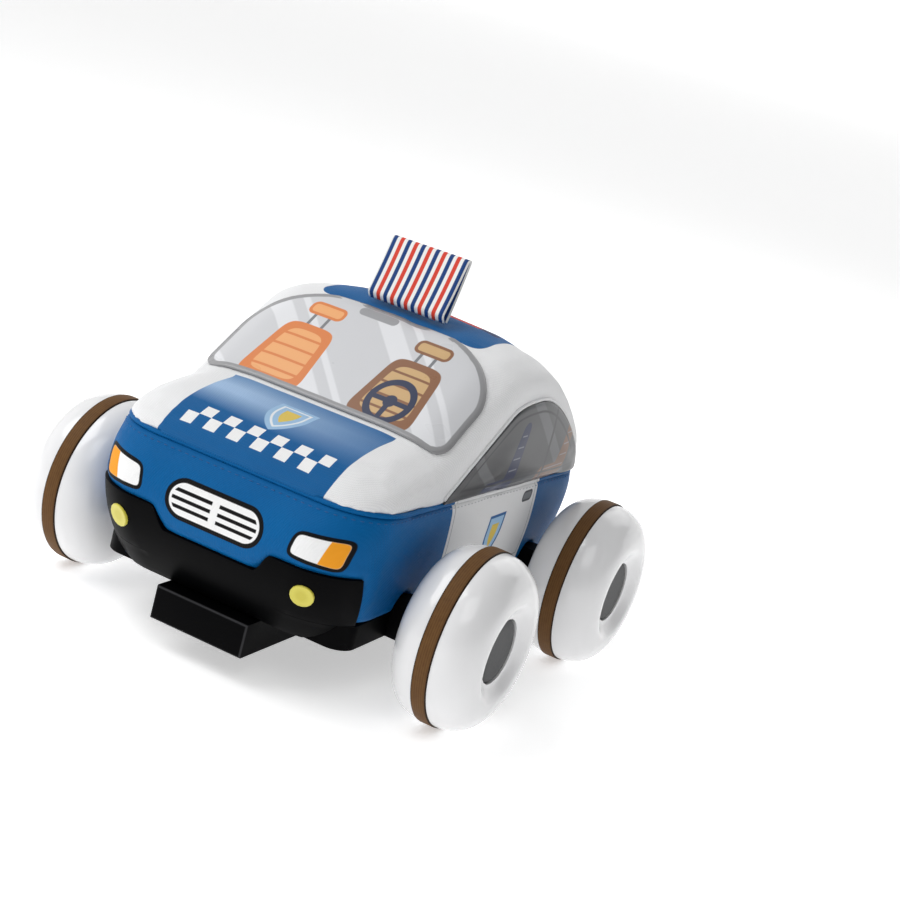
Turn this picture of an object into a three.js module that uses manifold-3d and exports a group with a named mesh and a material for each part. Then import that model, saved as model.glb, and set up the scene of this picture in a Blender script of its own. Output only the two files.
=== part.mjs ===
// A remote-control toy patrol car: a soft sewn body over a moulded chassis, on four balloon wheels.
// Millimetres. +X is the car's left, -Y its front, +Z up. The ground is z = 0.
import * as THREE from "three";
import { mergeVertices } from "three/addons/utils/BufferGeometryUtils.js";
import Module from "manifold-3d";

const wasm = await Module();
wasm.setup();

// Gaps between pieces
const clearance = 0.3;
const runningGap = 0.3;
const gearSideGap = 0.6;

// Wheels and axles
const wheelRadius = 38;
const wheelWidth = 38;
const wheelWall = 2;
const wheelBulgeRadius = 22;
const wheelGap = 7.7;
const wheelSides = 20;
const treadWidth = 7;
const treadThickness = 1.6;
const treadProud = 0.6;
const hubCapRadius = 13.7;
const hubCapThickness = 2.4;
const hubCapDip = 5.5;
const hubCapEdge = 0.6;
const hubLipDrop = 4.5;
const hubBossRadius = 7;
const axleRadius = 3;
const axleHeadRadius = 5;
const axleHeadLength = 2.5;
const axleSides = 12;
const frontOverhang = 61.7;
const rearOverhang = 51.7;

// Chassis tub: heights count from its underside, which hangs a fixed drop below the axles
const axleAboveBase = 11.4;
const tubHeight = 10.4;
const tubFloor = 2.2;
const tubWall = 2.4;
const tubSideInset = 1;
const tubCornerRadius = 9;
const tubRearInset = 3;
const bearingLength = 20;
const bearingWall = 2.4;
const bearingProud = 1.5;
const deckHeadroom = 3.7;
const deckThickness = 2.5;
const deckMargin = 2;
const deckCornerRadius = 12;
const postRadius = 4.5;
const postInset = 7;
const screwRadius = 1.3;
const screwHeadRadius = 3;
const screwHeadHeight = 1.6;
const screwLength = 10;

// Soft body: plan and side outlines
const bodyHalfWidth = 64.5;
const bodySideLean = 4.5;
const noseReach = 119;
const noseHeight = 40.4;
const noseUndercut = 17.5;
const noseLipSetback = 8.5;
const tailReach = 119;
const tailHeight = 39;
const tailUndercut = 10;
const tailLipSetback = 4;
const beltFrontHeight = 58.7;
const beltRearHeight = 50.8;
const frontCornerRadius = 26;
const rearCornerRadius = 36;
const padSideWall = 6;
const padEndWall = 18;
const hoodLip = 1.4;
const hoodTopHeight = 77;
const hoodShoulderHeight = 75.4;
const hoodShoulderRun = 14.5;
const windshieldBottomY = -58.4;
const windshieldTopY = -4;
const windshieldTopHeight = 111.9;
const roofPeakHeight = 115.9;
const roofPeakY = 24;
const roofFrontRun = 8;
const rearShoulderRun = 31;
const rearShoulderDrop = 2.5;
const rearFlankRun = 25;
const rearFlankRise = 29;
const shoulderDrop = 16;
const cabinFlatness = 9;
const roofFlatness = 2.6;

// Sewn-on panels and the roof ribbon
const panelThickness = 1;
const glassHalfWidth = 58.6;
const glassMargin = 2;
const glassBottomRadius = 7;
const glassTopRun = 44;
const glassTopRise = 26;
const sideGlassEdge = 6;
const sideGlassSill = 1.5;
const ribbonWidth = 38;
const ribbonThickness = 0.9;
const ribbonRise = 28;
const ribbonLean = 11;
const ribbonFold = 2.6;
const ribbonCrease = 2.8;
const ribbonRootY = 3;

// Front bumper and its lamps
const bumperThickness = 3;
const bumperDepth = 19;
const bumperEndTopDepth = 16.5;
const bumperEndRimDepth = 26.5;
const bumperTopHeight = 33.6;
const bumperDipHeight = 24.8;
const bumperDipHalf = 20.9;
const bumperDipSlope = 7.5;
const bumperNoseLength = 12;
const fogRadius = 5;
const fogLength = 2.6;
const fogProud = 0.7;
const fogInset = 20.8;
const fogHeight = 22.4;

// Battery bay under the tub
const cellRadius = 7.25;
const cellLength = 50.5;
const cellRib = 4;
const bayWall = 5.2;
const bayRoof = 2;
const bayEndWall = 3;
const bayDrop = 14.6;
const bayScrewBoss = 9.5;
const contactThickness = 0.5;
const doorThickness = 2.2;
const doorLedge = 2.5;
const doorScrewRadius = 1.2;
const doorScrewHeadRadius = 2.6;
const doorScrewHeadHeight = 0.9;
const doorScrewSink = 0.25;
const doorScrewReach = 5;
const doorScrewPlay = 0.7;

// Drive: one motor and gear train for each rear wheel
const gearModule = 0.8;
const pinionTeeth = 9;
const idlerTeeth = 18;
const idlerPinionTeeth = 9;
const axleGearTeeth = 20;
const toothAddendum = 0.52;
const toothDedendum = 0.8;
const toothTipShare = 0.2;
const toothRootShare = 0.46;
const axleGearWidth = 5;
const idlerWidth = 4.4;
const idlerPinRadius = 1.5;
const idlerAngle = THREE.MathUtils.degToRad(150);
const platesThickness = 1.6;
const plateMargin = 3;
const motorRadius = 10;
const motorFlat = 7.5;
const motorLength = 25;
const motorBossRadius = 3;
const motorBossLength = 1.6;
const motorShaftRadius = 1;
const motorShaftDepth = 8;
const cradleMargin = 3;

// Receiver board and power switch
const boardHalfWidth = 28;
const boardLength = 54;
const boardThickness = 1.6;
const boardFrontY = -72;
const boardHeight = 19.4;
const boardPostRadius = 2.5;
const boardPostInset = 2.5;
const chipSize = 12;
const chipHeight = 2;
const capacitorRadius = 4;
const capacitorHeight = 9;
const switchY = 0;
const switchGap = 12;
const switchKnobWidth = 4;
const switchKnobDrop = 2;
const switchTravel = 4;
const switchFlange = 1.5;
const switchCaseWall = 1.5;
const switchCaseHeight = 7;

// Places worked out from the sizes above
const axleZ = wheelRadius;
const baseZ = axleZ - axleAboveBase;
const floorZ = baseZ + tubFloor;
const rimZ = baseZ + tubHeight;
const frontAxleY = frontOverhang - noseReach;
const rearAxleY = tailReach - rearOverhang;
const halfTrack = bodyHalfWidth + wheelGap + wheelWidth / 2;
const fogX = bodyHalfWidth - fogInset;
const bearingOuter = bodyHalfWidth + bearingProud;
const bearingInner = bearingOuter - bearingLength;
const bearingHalf = axleRadius + runningGap + bearingWall;
const deckZ = baseZ + boardHeight + boardThickness + capacitorHeight + deckHeadroom;
const tubHalfWidth = bodyHalfWidth - bodySideLean - tubSideInset;
const cavityHalfWidth = bodyHalfWidth - bodySideLean - padSideWall;
const deckHalfWidth = cavityHalfWidth - deckMargin;
const cellPitch = 2 * cellRadius + cellRib;

// Finishes
const finishes = {
  bodyBlue: { color: 0x0f5fa5, roughness: 0.8, metalness: 0 },
  bodyWhite: { color: 0xe9ebee, roughness: 0.75, metalness: 0 },
  glassGrey: { color: 0xc4c8cc, roughness: 0.6, metalness: 0 },
  windowGrey: { color: 0x6d737a, roughness: 0.6, metalness: 0 },
  ribbon: { color: 0xd8d9e2, roughness: 0.85, metalness: 0 },
  black: { color: 0x15161a, roughness: 0.45, metalness: 0 },
  wheelWhite: { color: 0xf1f2f3, roughness: 0.3, metalness: 0 },
  treadBrown: { color: 0x6b4a2f, roughness: 0.7, metalness: 0 },
  hubGrey: { color: 0x4a4c50, roughness: 0.55, metalness: 0 },
  steel: { color: 0xb4b7bb, roughness: 0.35, metalness: 1 },
  gearWhite: { color: 0xe4e2da, roughness: 0.5, metalness: 0 },
  plateGrey: { color: 0x8f949b, roughness: 0.5, metalness: 0 },
  boardGreen: { color: 0x1f6b3a, roughness: 0.5, metalness: 0 },
  cell: { color: 0x7d8288, roughness: 0.4, metalness: 0.3 },
  lamp: { color: 0xdccb3f, roughness: 0.25, metalness: 0 },
};

const model = new THREE.Group();

// One welded copy of a geometry, without empty triangles and with its faces pointing out
function welded(geometry) {
  const weldTolerance = 1e-4;
  const bare = new THREE.BufferGeometry();
  bare.setAttribute("position", geometry.attributes.position.clone());
  if (geometry.index) {
    bare.setIndex(geometry.index.clone());
  }
  const merged = mergeVertices(bare, weldTolerance);
  const corners = merged.index.array;
  const point = (i) => new THREE.Vector3().fromBufferAttribute(merged.attributes.position, i);
  const kept = [];
  let volume = 0;
  for (let i = 0; i < corners.length; i += 3) {
    const [a, b, c] = corners.slice(i, i + 3);
    if (a !== b && b !== c && c !== a) {
      kept.push([a, b, c]);
      volume += point(a).dot(point(b).cross(point(c)));
    }
  }
  const facing = volume < 0 ? kept.map(([a, b, c]) => [a, c, b]) : kept;
  merged.setIndex(facing.flat());
  return merged;
}

function solidOf(geometry) {
  const mesh = welded(geometry);
  return new wasm.Manifold(new wasm.Mesh({
    numProp: 3,
    vertProperties: new Float32Array(mesh.attributes.position.array),
    triVerts: new Uint32Array(mesh.index.array),
  }));
}

function geometryOf(solid) {
  const mesh = solid.getMesh();
  const geometry = new THREE.BufferGeometry();
  geometry.setAttribute("position", new THREE.BufferAttribute(mesh.vertProperties, 3));
  geometry.setIndex(new THREE.BufferAttribute(mesh.triVerts, 1));
  return geometry;
}

function joined(first, ...others) {
  return geometryOf(others.reduce((sum, next) => sum.add(solidOf(next)), solidOf(first)));
}

function cut(base, ...tools) {
  return geometryOf(tools.reduce((rest, tool) => rest.subtract(solidOf(tool)), solidOf(base)));
}

function common(first, second) {
  return geometryOf(solidOf(first).intersect(solidOf(second)));
}

function addPiece(parent, name, geometry, finish) {
  const mesh = new THREE.Mesh(welded(geometry), new THREE.MeshStandardMaterial(finish));
  mesh.name = name;
  parent.add(mesh);
}

function mirrored(geometry) {
  return welded(geometry.clone().scale(-1, 1, 1));
}

function block([x0, x1], [y0, y1], [z0, z1]) {
  const geometry = new THREE.BoxGeometry(x1 - x0, y1 - y0, z1 - z0);
  return geometry.translate((x0 + x1) / 2, (y0 + y1) / 2, (z0 + z1) / 2);
}

function rodX(radius, [x0, x1], y, z, sides) {
  const geometry = new THREE.CylinderGeometry(radius, radius, x1 - x0, sides);
  return geometry.rotateZ(-Math.PI / 2).translate((x0 + x1) / 2, y, z);
}

function rodY(radius, x, [y0, y1], z, sides) {
  const geometry = new THREE.CylinderGeometry(radius, radius, y1 - y0, sides);
  return geometry.translate(x, (y0 + y1) / 2, z);
}

function rodZ(radius, x, y, [z0, z1], sides) {
  const geometry = new THREE.CylinderGeometry(radius, radius, z1 - z0, sides);
  return geometry.rotateX(Math.PI / 2).translate(x, y, (z0 + z1) / 2);
}

// Turned about X from [radius, offset] pairs, with a flat at the bottom
function turned(profile, sides) {
  const points = profile.map(([radius, offset]) => new THREE.Vector2(radius, offset));
  return new THREE.LatheGeometry(points, sides, Math.PI / sides).rotateZ(-Math.PI / 2);
}

// An outline drawn in (y, z), extruded along +X from x0
function extrudedX(shape, x0, depth, curveSegments) {
  const across = new THREE.Matrix4().makeBasis(
    new THREE.Vector3(0, 1, 0),
    new THREE.Vector3(0, 0, 1),
    new THREE.Vector3(1, 0, 0),
  );
  const geometry = new THREE.ExtrudeGeometry(shape, { depth, bevelEnabled: false, curveSegments });
  return geometry.applyMatrix4(across).translate(x0, 0, 0);
}

// An outline drawn in (x, z), extruded along -Y from y1
function extrudedY(shape, y1, depth, curveSegments) {
  const geometry = new THREE.ExtrudeGeometry(shape, { depth, bevelEnabled: false, curveSegments });
  return geometry.rotateX(Math.PI / 2).translate(0, y1, 0);
}

function roundedPlate([x0, x1], [y0, y1], radius, [z0, z1], holes = []) {
  const shape = new THREE.Shape();
  shape.absarc(x1 - radius, y1 - radius, radius, 0, Math.PI / 2);
  shape.absarc(x0 + radius, y1 - radius, radius, Math.PI / 2, Math.PI);
  shape.absarc(x0 + radius, y0 + radius, radius, Math.PI, Math.PI * 1.5);
  shape.absarc(x1 - radius, y0 + radius, radius, Math.PI * 1.5, Math.PI * 2);
  shape.holes = holes;
  const settings = { depth: z1 - z0, bevelEnabled: false, curveSegments: 6 };
  return new THREE.ExtrudeGeometry(shape, settings).translate(0, 0, z0);
}

function roundHole(u, v, radius) {
  return new THREE.Path().absarc(u, v, radius, 0, Math.PI * 2, true);
}

// A skin through closed rings of the same count, capped at both ends
function loft(rings) {
  const count = rings[0].length;
  const centre = (ring) => ring.reduce((sum, p) => sum.add(p), new THREE.Vector3()).divideScalar(count);
  const points = [...rings.flat(), centre(rings[0]), centre(rings.at(-1))];
  const first = rings.length * count;
  const faces = [];
  rings.slice(1).forEach((ring, level) => {
    ring.forEach((_, j) => {
      const a = level * count + j;
      const b = level * count + ((j + 1) % count);
      faces.push(a, b, b + count, a, b + count, a + count);
    });
  });
  rings[0].forEach((_, j) => {
    const next = (j + 1) % count;
    const top = first - count;
    faces.push(first, next, j, first + 1, top + j, top + next);
  });
  const geometry = new THREE.BufferGeometry().setFromPoints(points);
  geometry.setIndex(faces);
  return geometry;
}

// A closed slab between two grids of points with the same rows and columns
function slab(topRows, bottomRows) {
  const columns = topRows[0].length;
  const rows = topRows.length;
  const layer = rows * columns;
  const geometry = new THREE.BufferGeometry().setFromPoints([...topRows.flat(), ...bottomRows.flat()]);
  const faces = [];
  const quad = (a, b, c, d) => faces.push(a, b, c, a, c, d);
  for (let i = 0; i + 1 < rows; i++) {
    for (let j = 0; j + 1 < columns; j++) {
      const a = i * columns + j;
      const b = a + columns;
      quad(a, a + 1, b + 1, b);
      quad(layer + a, layer + b, layer + b + 1, layer + a + 1);
    }
    const left = i * columns;
    const right = left + columns - 1;
    quad(left, left + columns, layer + left + columns, layer + left);
    quad(right, layer + right, layer + right + columns, right + columns);
  }
  for (let j = 0; j + 1 < columns; j++) {
    const end = layer - columns + j;
    quad(j, layer + j, layer + j + 1, j + 1);
    quad(end, end + 1, layer + end + 1, layer + end);
  }
  geometry.setIndex(faces);
  return geometry;
}

// The body's outline rules: where its nose, tail, sides and belt seam stand
function noseY(z) {
  const peak = baseZ + noseHeight;
  if (z < peak) {
    return -noseReach + noseUndercut * ((peak - z) / noseHeight) ** 2;
  }
  return -noseReach + noseLipSetback * ((z - peak) / (beltFrontHeight - noseHeight)) ** 2;
}

function tailY(z) {
  const peak = baseZ + tailHeight;
  if (z < peak) {
    return tailReach - tailUndercut * ((peak - z) / tailHeight) ** 2;
  }
  return tailReach - tailLipSetback * ((z - peak) / (beltRearHeight - tailHeight)) ** 2;
}

const hoodFrontY = -noseReach + noseLipSetback;
const tailEndY = tailReach - tailLipSetback;

function beltZ(y) {
  const share = (y - hoodFrontY) / (tailEndY - hoodFrontY);
  return baseZ + THREE.MathUtils.lerp(beltFrontHeight, beltRearHeight, share);
}

function sideX(z) {
  const top = baseZ + beltRearHeight;
  return bodyHalfWidth - bodySideLean * (Math.max(top - z, 0) / (beltRearHeight - tubHeight)) ** 2;
}

// Points round the body's plan outline, grown outwards by an offset
function planOutline(front, rear, halfWidth, offset) {
  const cornerSteps = 7;
  const frontRadius = frontCornerRadius + offset;
  const rearRadius = rearCornerRadius + offset;
  const corners = [
    [halfWidth + offset - rearRadius, rear + offset - rearRadius, rearRadius],
    [-halfWidth - offset + rearRadius, rear + offset - rearRadius, rearRadius],
    [-halfWidth - offset + frontRadius, front - offset + frontRadius, frontRadius],
    [halfWidth + offset - frontRadius, front - offset + frontRadius, frontRadius],
  ];
  return corners.flatMap(([x, y, radius], corner) => {
    return Array.from({ length: cornerSteps + 1 }, (_, step) => {
      const angle = (corner + step / cornerSteps) * Math.PI / 2;
      return new THREE.Vector2(x + radius * Math.cos(angle), y + radius * Math.sin(angle));
    });
  });
}

// A level skin of the lower body between two heights, grown outwards by an offset
function lowerSkin(z0, z1, offset) {
  const levels = 6;
  const rings = Array.from({ length: levels + 1 }, (_, level) => {
    const z = THREE.MathUtils.lerp(z0, z1, level / levels);
    const outline = planOutline(noseY(z), tailY(z), sideX(z), offset);
    return outline.map((p) => new THREE.Vector3(p.x, p.y, z));
  });
  return loft(rings);
}

// Wheels: two half shells, a tread band between them, a hub cap and an axle
function sidewall(shoulder, inset, steps) {
  const start = treadWidth / 2 + clearance;
  const widest = wheelWidth / 2 - inset;
  return Array.from({ length: steps + 1 }, (_, i) => {
    const angle = (i / steps) * Math.PI / 2;
    const radius = wheelBulgeRadius + (shoulder - wheelBulgeRadius) * Math.cos(angle);
    return [radius, start + (widest - start) * Math.sin(angle)];
  });
}

function hubDip(lipRadius, steps) {
  const widest = wheelWidth / 2;
  return Array.from({ length: steps }, (_, i) => {
    const angle = ((i + 1) / steps) * Math.PI / 2;
    const radius = wheelBulgeRadius - (wheelBulgeRadius - lipRadius) * Math.sin(angle);
    return [radius, widest - hubLipDrop * (1 - Math.cos(angle))];
  });
}

const capFace = wheelWidth / 2 - hubCapDip;
const capFloor = capFace - hubCapThickness - clearance;
const hubBossEnd = halfTrack - bearingOuter - 2 * clearance;

function shellProfile(hubPoints, hubInside) {
  const half = clearance / 2;
  const rim = wheelRadius - treadThickness - clearance;
  const bore = axleRadius + clearance;
  const lip = hubCapRadius + clearance;
  const inner = sidewall(rim - wheelWall, wheelWall, 1).reverse();
  const outer = sidewall(wheelRadius - treadProud, 0, 4);
  return [
    [bore, half],
    [hubBossRadius, half],
    [hubBossRadius, hubInside],
    [lip + wheelWall, hubInside],
    ...inner,
    [rim - wheelWall, half],
    [rim, half],
    [rim, treadWidth / 2 + clearance],
    ...outer,
    ...hubDip(lip, 2),
    ...hubPoints,
    [bore, half],
  ];
}

function addWheel(place, side, axleY, axleInnerX) {
  const bore = axleRadius + clearance;
  const lip = hubCapRadius + clearance;
  const lipFace = wheelWidth / 2 - hubLipDrop;
  const outerHub = [[lip, capFloor], [bore, capFloor]];
  const innerHub = [[hubBossRadius, lipFace], [hubBossRadius, hubBossEnd], [bore, hubBossEnd]];
  const treadRadius = wheelRadius / Math.cos(Math.PI / wheelSides);
  const treadInner = wheelRadius - treadThickness;
  const tread = [
    [treadInner, -treadWidth / 2],
    [treadRadius, -treadWidth / 2],
    [treadRadius, treadWidth / 2],
    [treadInner, treadWidth / 2],
    [treadInner, -treadWidth / 2],
  ];
  const cap = [
    [0, capFace - hubCapThickness],
    [hubCapRadius, capFace - hubCapThickness],
    [hubCapRadius, capFace - hubCapEdge],
    [hubCapRadius - hubCapEdge, capFace],
    [0, capFace],
  ];
  const axleStart = axleInnerX - halfTrack;
  const axle = [
    [0, axleStart],
    [axleHeadRadius, axleStart],
    [axleHeadRadius, axleStart + axleHeadLength],
    [axleRadius, axleStart + axleHeadLength],
    [axleRadius, capFloor],
    [0, capFloor],
  ];
  const wheel = new THREE.Group();
  wheel.position.set(side * halfTrack, axleY, axleZ);
  wheel.rotation.z = side > 0 ? 0 : Math.PI;
  const outerShell = turned(shellProfile(outerHub, capFloor - wheelWall), wheelSides);
  const innerShell = turned(shellProfile(innerHub, lipFace - wheelWall), wheelSides);
  addPiece(wheel, `${place}_wheel_outer_shell`, outerShell, finishes.wheelWhite);
  addPiece(wheel, `${place}_wheel_inner_shell`, mirrored(innerShell), finishes.wheelWhite);
  addPiece(wheel, `${place}_tread_band`, turned(tread, wheelSides), finishes.treadBrown);
  addPiece(wheel, `${place}_hub_cap`, turned(cap, wheelSides), finishes.hubGrey);
  addPiece(wheel, `${place}_axle`, turned(axle, axleSides), finishes.steel);
  model.add(wheel);
}

// Gear train places, for the left side
const plateOuterX = [bearingInner - clearance - platesThickness, bearingInner - clearance];
const axleGearX = [plateOuterX[0] - gearSideGap - axleGearWidth, plateOuterX[0] - gearSideGap];
const idlerX = [axleGearX[0] - gearSideGap - idlerWidth, axleGearX[0] - gearSideGap];
const plateInnerX = [idlerX[0] - gearSideGap - platesThickness, idlerX[0] - gearSideGap];
const motorFaceX = plateInnerX[0] - clearance;
const axleToIdler = gearModule * (axleGearTeeth + idlerPinionTeeth) / 2;
const idlerToMotor = gearModule * (idlerTeeth + pinionTeeth) / 2;
const idlerY = rearAxleY + axleToIdler * Math.cos(idlerAngle);
const idlerZ = axleZ + axleToIdler * Math.sin(idlerAngle);
const motorY = idlerY - idlerToMotor;
const rearAxleInnerX = plateInnerX[0] - clearance - axleHeadLength;
const frontAxleInnerX = bearingInner - clearance - axleHeadLength;

function gear(teeth, phase, [x0, x1], y, z, boreRadius) {
  const pitchRadius = gearModule * teeth / 2;
  const halfPitch = Math.PI / teeth;
  const shape = new THREE.Shape();
  for (let tooth = 0; tooth < teeth; tooth++) {
    const middle = phase + 2 * halfPitch * tooth;
    const corners = [
      [pitchRadius - toothDedendum, middle - halfPitch * toothRootShare],
      [pitchRadius + toothAddendum, middle - halfPitch * toothTipShare],
      [pitchRadius + toothAddendum, middle + halfPitch * toothTipShare],
      [pitchRadius - toothDedendum, middle + halfPitch * toothRootShare],
    ];
    corners.forEach(([radius, angle], corner) => {
      const u = radius * Math.cos(angle);
      const v = radius * Math.sin(angle);
      if (tooth + corner === 0) {
        shape.moveTo(u, v);
      } else {
        shape.lineTo(u, v);
      }
    });
  }
  if (boreRadius > 0) {
    shape.holes.push(roundHole(0, 0, boreRadius));
  }
  return extrudedX(shape, x0, x1 - x0, 6).translate(0, y, z);
}

function gearPlate([x0, x1], holes) {
  const y0 = motorY - motorRadius - plateMargin;
  const y1 = rearAxleY + axleHeadRadius + plateMargin;
  const top = idlerZ + gearModule * idlerTeeth / 2 + plateMargin;
  const shape = new THREE.Shape();
  shape.moveTo(y0, floorZ + clearance);
  shape.lineTo(y1, floorZ + clearance);
  shape.lineTo(y1, axleZ + axleHeadRadius + plateMargin);
  shape.lineTo(idlerY + plateMargin, top);
  shape.lineTo(y0, top);
  shape.holes = holes.map(([y, z, radius]) => roundHole(y, z, radius));
  return extrudedX(shape, x0, x1 - x0, 8);
}

function addDrive(side) {
  const hand = side > 0 ? (geometry) => geometry : mirrored;
  const name = side > 0 ? "left" : "right";
  const finger = axleRadius + runningGap;
  const pinHole = idlerPinRadius + runningGap;
  const toIdler = idlerAngle;
  const toMotor = Math.PI;
  const fromAxle = toIdler + Math.PI + Math.PI / idlerPinionTeeth;
  const fromIdler = toMotor + Math.PI + Math.PI / pinionTeeth;
  const can = common(
    rodX(motorRadius, [motorFaceX - motorLength, motorFaceX], motorY, idlerZ, 20),
    block(
      [0, motorFaceX + motorLength],
      [motorY - 2 * motorRadius, motorY + 2 * motorRadius],
      [idlerZ - motorFlat, idlerZ + motorFlat],
    ),
  );
  const boss = rodX(motorBossRadius, [motorFaceX - 1, motorFaceX + motorBossLength], motorY, idlerZ, 12);
  const shaftBore = rodX(
    motorShaftRadius + runningGap,
    [motorFaceX - motorShaftDepth - clearance, motorFaceX + 2 * motorBossLength],
    motorY,
    idlerZ,
    12,
  );
  const motor = cut(joined(can, boss), shaftBore);
  const pinion = joined(
    gear(pinionTeeth, fromIdler, idlerX, motorY, idlerZ, 0),
    rodX(motorShaftRadius, [motorFaceX - motorShaftDepth, idlerX[1] - clearance], motorY, idlerZ, 8),
  );
  const idler = joined(
    gear(idlerTeeth, toMotor, idlerX, idlerY, idlerZ, 0),
    gear(idlerPinionTeeth, fromAxle, [idlerX[0] + clearance, axleGearX[1]], idlerY, idlerZ, 0),
    rodX(idlerPinRadius, [plateInnerX[0] + clearance, plateOuterX[1] - clearance], idlerY, idlerZ, 10),
  );
  const axleGear = gear(axleGearTeeth, toIdler, axleGearX, rearAxleY, axleZ, axleRadius + clearance);
  const innerPlate = gearPlate(plateInnerX, [
    [motorY, idlerZ, motorBossRadius + clearance],
    [idlerY, idlerZ, pinHole],
    [rearAxleY, axleZ, finger],
  ]);
  const outerPlate = gearPlate(plateOuterX, [
    [idlerY, idlerZ, pinHole],
    [rearAxleY, axleZ, finger],
  ]);
  addPiece(model, `drive_motor_${name}`, hand(motor), finishes.steel);
  addPiece(model, `motor_pinion_${name}`, hand(pinion), finishes.gearWhite);
  addPiece(model, `idler_gear_${name}`, hand(idler), finishes.gearWhite);
  addPiece(model, `axle_gear_${name}`, hand(axleGear), finishes.gearWhite);
  addPiece(model, `gear_plate_inner_${name}`, hand(innerPlate), finishes.plateGrey);
  addPiece(model, `gear_plate_outer_${name}`, hand(outerPlate), finishes.plateGrey);
}

// Battery bay places
const tubFrontY = noseY(baseZ) + bumperThickness + clearance;
const tubRearY = tailY(baseZ) - tubRearInset;
const bayBottomZ = baseZ - bayDrop;
const cellZ = bayBottomZ + doorThickness + 2 * clearance + cellRadius;
const bayTopZ = cellZ + cellRadius + clearance + bayRoof;
const bayHalfWidth = cellPitch / 2 + cellRadius + clearance + bayWall;
const bayY0 = tubFrontY;
const contactFrontY = bayY0 + bayEndWall + clearance;
const cellsY0 = contactFrontY + contactThickness + clearance;
const cellsY1 = cellsY0 + 2 * cellLength + clearance;
const contactRearY = cellsY1 + clearance;
const cellsBayEnd = contactRearY + contactThickness + clearance;
const bayY1 = cellsBayEnd + bayScrewBoss;
const doorHalfWidth = bayHalfWidth - doorLedge;
const doorY = [bayY0 + bayEndWall, bayY1 - doorLedge];
const doorScrewY = cellsBayEnd + (doorY[1] - cellsBayEnd) / 2;
const contactHalf = cellPitch / 2 + cellRadius;
const contactZ = [bayBottomZ + doorThickness + 2 * clearance, cellZ + cellRadius];
const ends = [["front", frontAxleY], ["rear", rearAxleY]];
const postX = deckHalfWidth - postInset;
const deckY = [noseY(rimZ) + padEndWall + deckMargin, tailY(rimZ) - padEndWall - deckMargin];
const postY = [deckY[0] + postInset, deckY[1] - postInset];
const boardPostY = [boardFrontY + 2 * boardPostInset, boardFrontY + boardLength - 2 * boardPostInset];
const switchX = bayHalfWidth + switchGap;

// The tub: a tray with the battery bay, axle bearings, posts and motor cradles moulded in
function tubGeometry() {
  const through = 2 * wheelRadius;
  const tray = cut(
    roundedPlate([-tubHalfWidth, tubHalfWidth], [tubFrontY, tubRearY], tubCornerRadius, [baseZ, rimZ]),
    roundedPlate(
      [tubWall - tubHalfWidth, tubHalfWidth - tubWall],
      [tubFrontY + tubWall, tubRearY - tubWall],
      tubCornerRadius - tubWall,
      [floorZ, rimZ + through],
    ),
  );
  const added = [
    block([-bayHalfWidth, bayHalfWidth], [bayY0, bayY1], [bayBottomZ, bayTopZ]),
    block(
      [-bayHalfWidth, bayHalfWidth],
      [bayY0 - bumperNoseLength, bayY0 + bayEndWall],
      [bayBottomZ, baseZ - clearance],
    ),
  ];
  const removed = [
    block(
      [-doorHalfWidth - clearance, doorHalfWidth + clearance],
      [doorY[0] - clearance, doorY[1] + clearance],
      [bayBottomZ - 1, bayBottomZ + doorThickness + clearance],
    ),
    rodZ(doorScrewRadius + doorScrewPlay, 0, doorScrewY, [bayBottomZ, cellZ], 12),
  ];
  [-1, 1].forEach((side) => {
    const cellX = side * cellPitch / 2;
    const slack = cellRadius + clearance;
    removed.push(block(
      [cellX - slack, cellX + slack],
      [cellsY0 - clearance, cellsY1 + clearance],
      [bayBottomZ, cellZ + slack],
    ));
    ends.forEach(([, axleY]) => {
      const reach = [bearingInner, bearingOuter].map((x) => side * x).sort((a, b) => a - b);
      added.push(block(reach, [axleY - bearingHalf, axleY + bearingHalf], [baseZ, axleZ + bearingHalf]));
      removed.push(rodX(axleRadius + runningGap, [reach[0] - 1, reach[1] + 1], axleY, axleZ, 16));
    });
    const cradle = [motorFaceX - motorLength + cradleMargin, motorFaceX - cradleMargin];
    added.push(block(
      cradle.map((x) => side * x).sort((a, b) => a - b),
      [motorY - motorFlat, motorY + motorFlat],
      [baseZ + clearance, idlerZ - motorFlat - clearance],
    ));
    postY.forEach((y) => {
      added.push(rodZ(postRadius, side * postX, y, [baseZ + clearance, deckZ - clearance], 12));
      removed.push(rodZ(screwRadius + clearance, side * postX, y, [deckZ - screwLength, deckZ + 1], 10));
    });
    boardPostY.forEach((y) => {
      const x = side * (boardHalfWidth - boardPostInset);
      added.push(rodZ(boardPostRadius, x, y, [baseZ + clearance, baseZ + boardHeight - clearance], 10));
    });
  });
  const contactSlot = (y) => block(
    [-contactHalf - clearance, contactHalf + clearance],
    [y - clearance, y + contactThickness + clearance],
    [contactZ[0] - clearance, contactZ[1] + clearance],
  );
  removed.push(contactSlot(contactFrontY), contactSlot(contactRearY));
  removed.push(block(
    [switchX - switchKnobWidth / 2 - clearance, switchX + switchKnobWidth / 2 + clearance],
    [switchY - clearance, switchY + switchKnobWidth + switchTravel + clearance],
    [baseZ - 1, floorZ + 1],
  ));
  return cut(joined(tray, ...added), ...removed);
}

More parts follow.
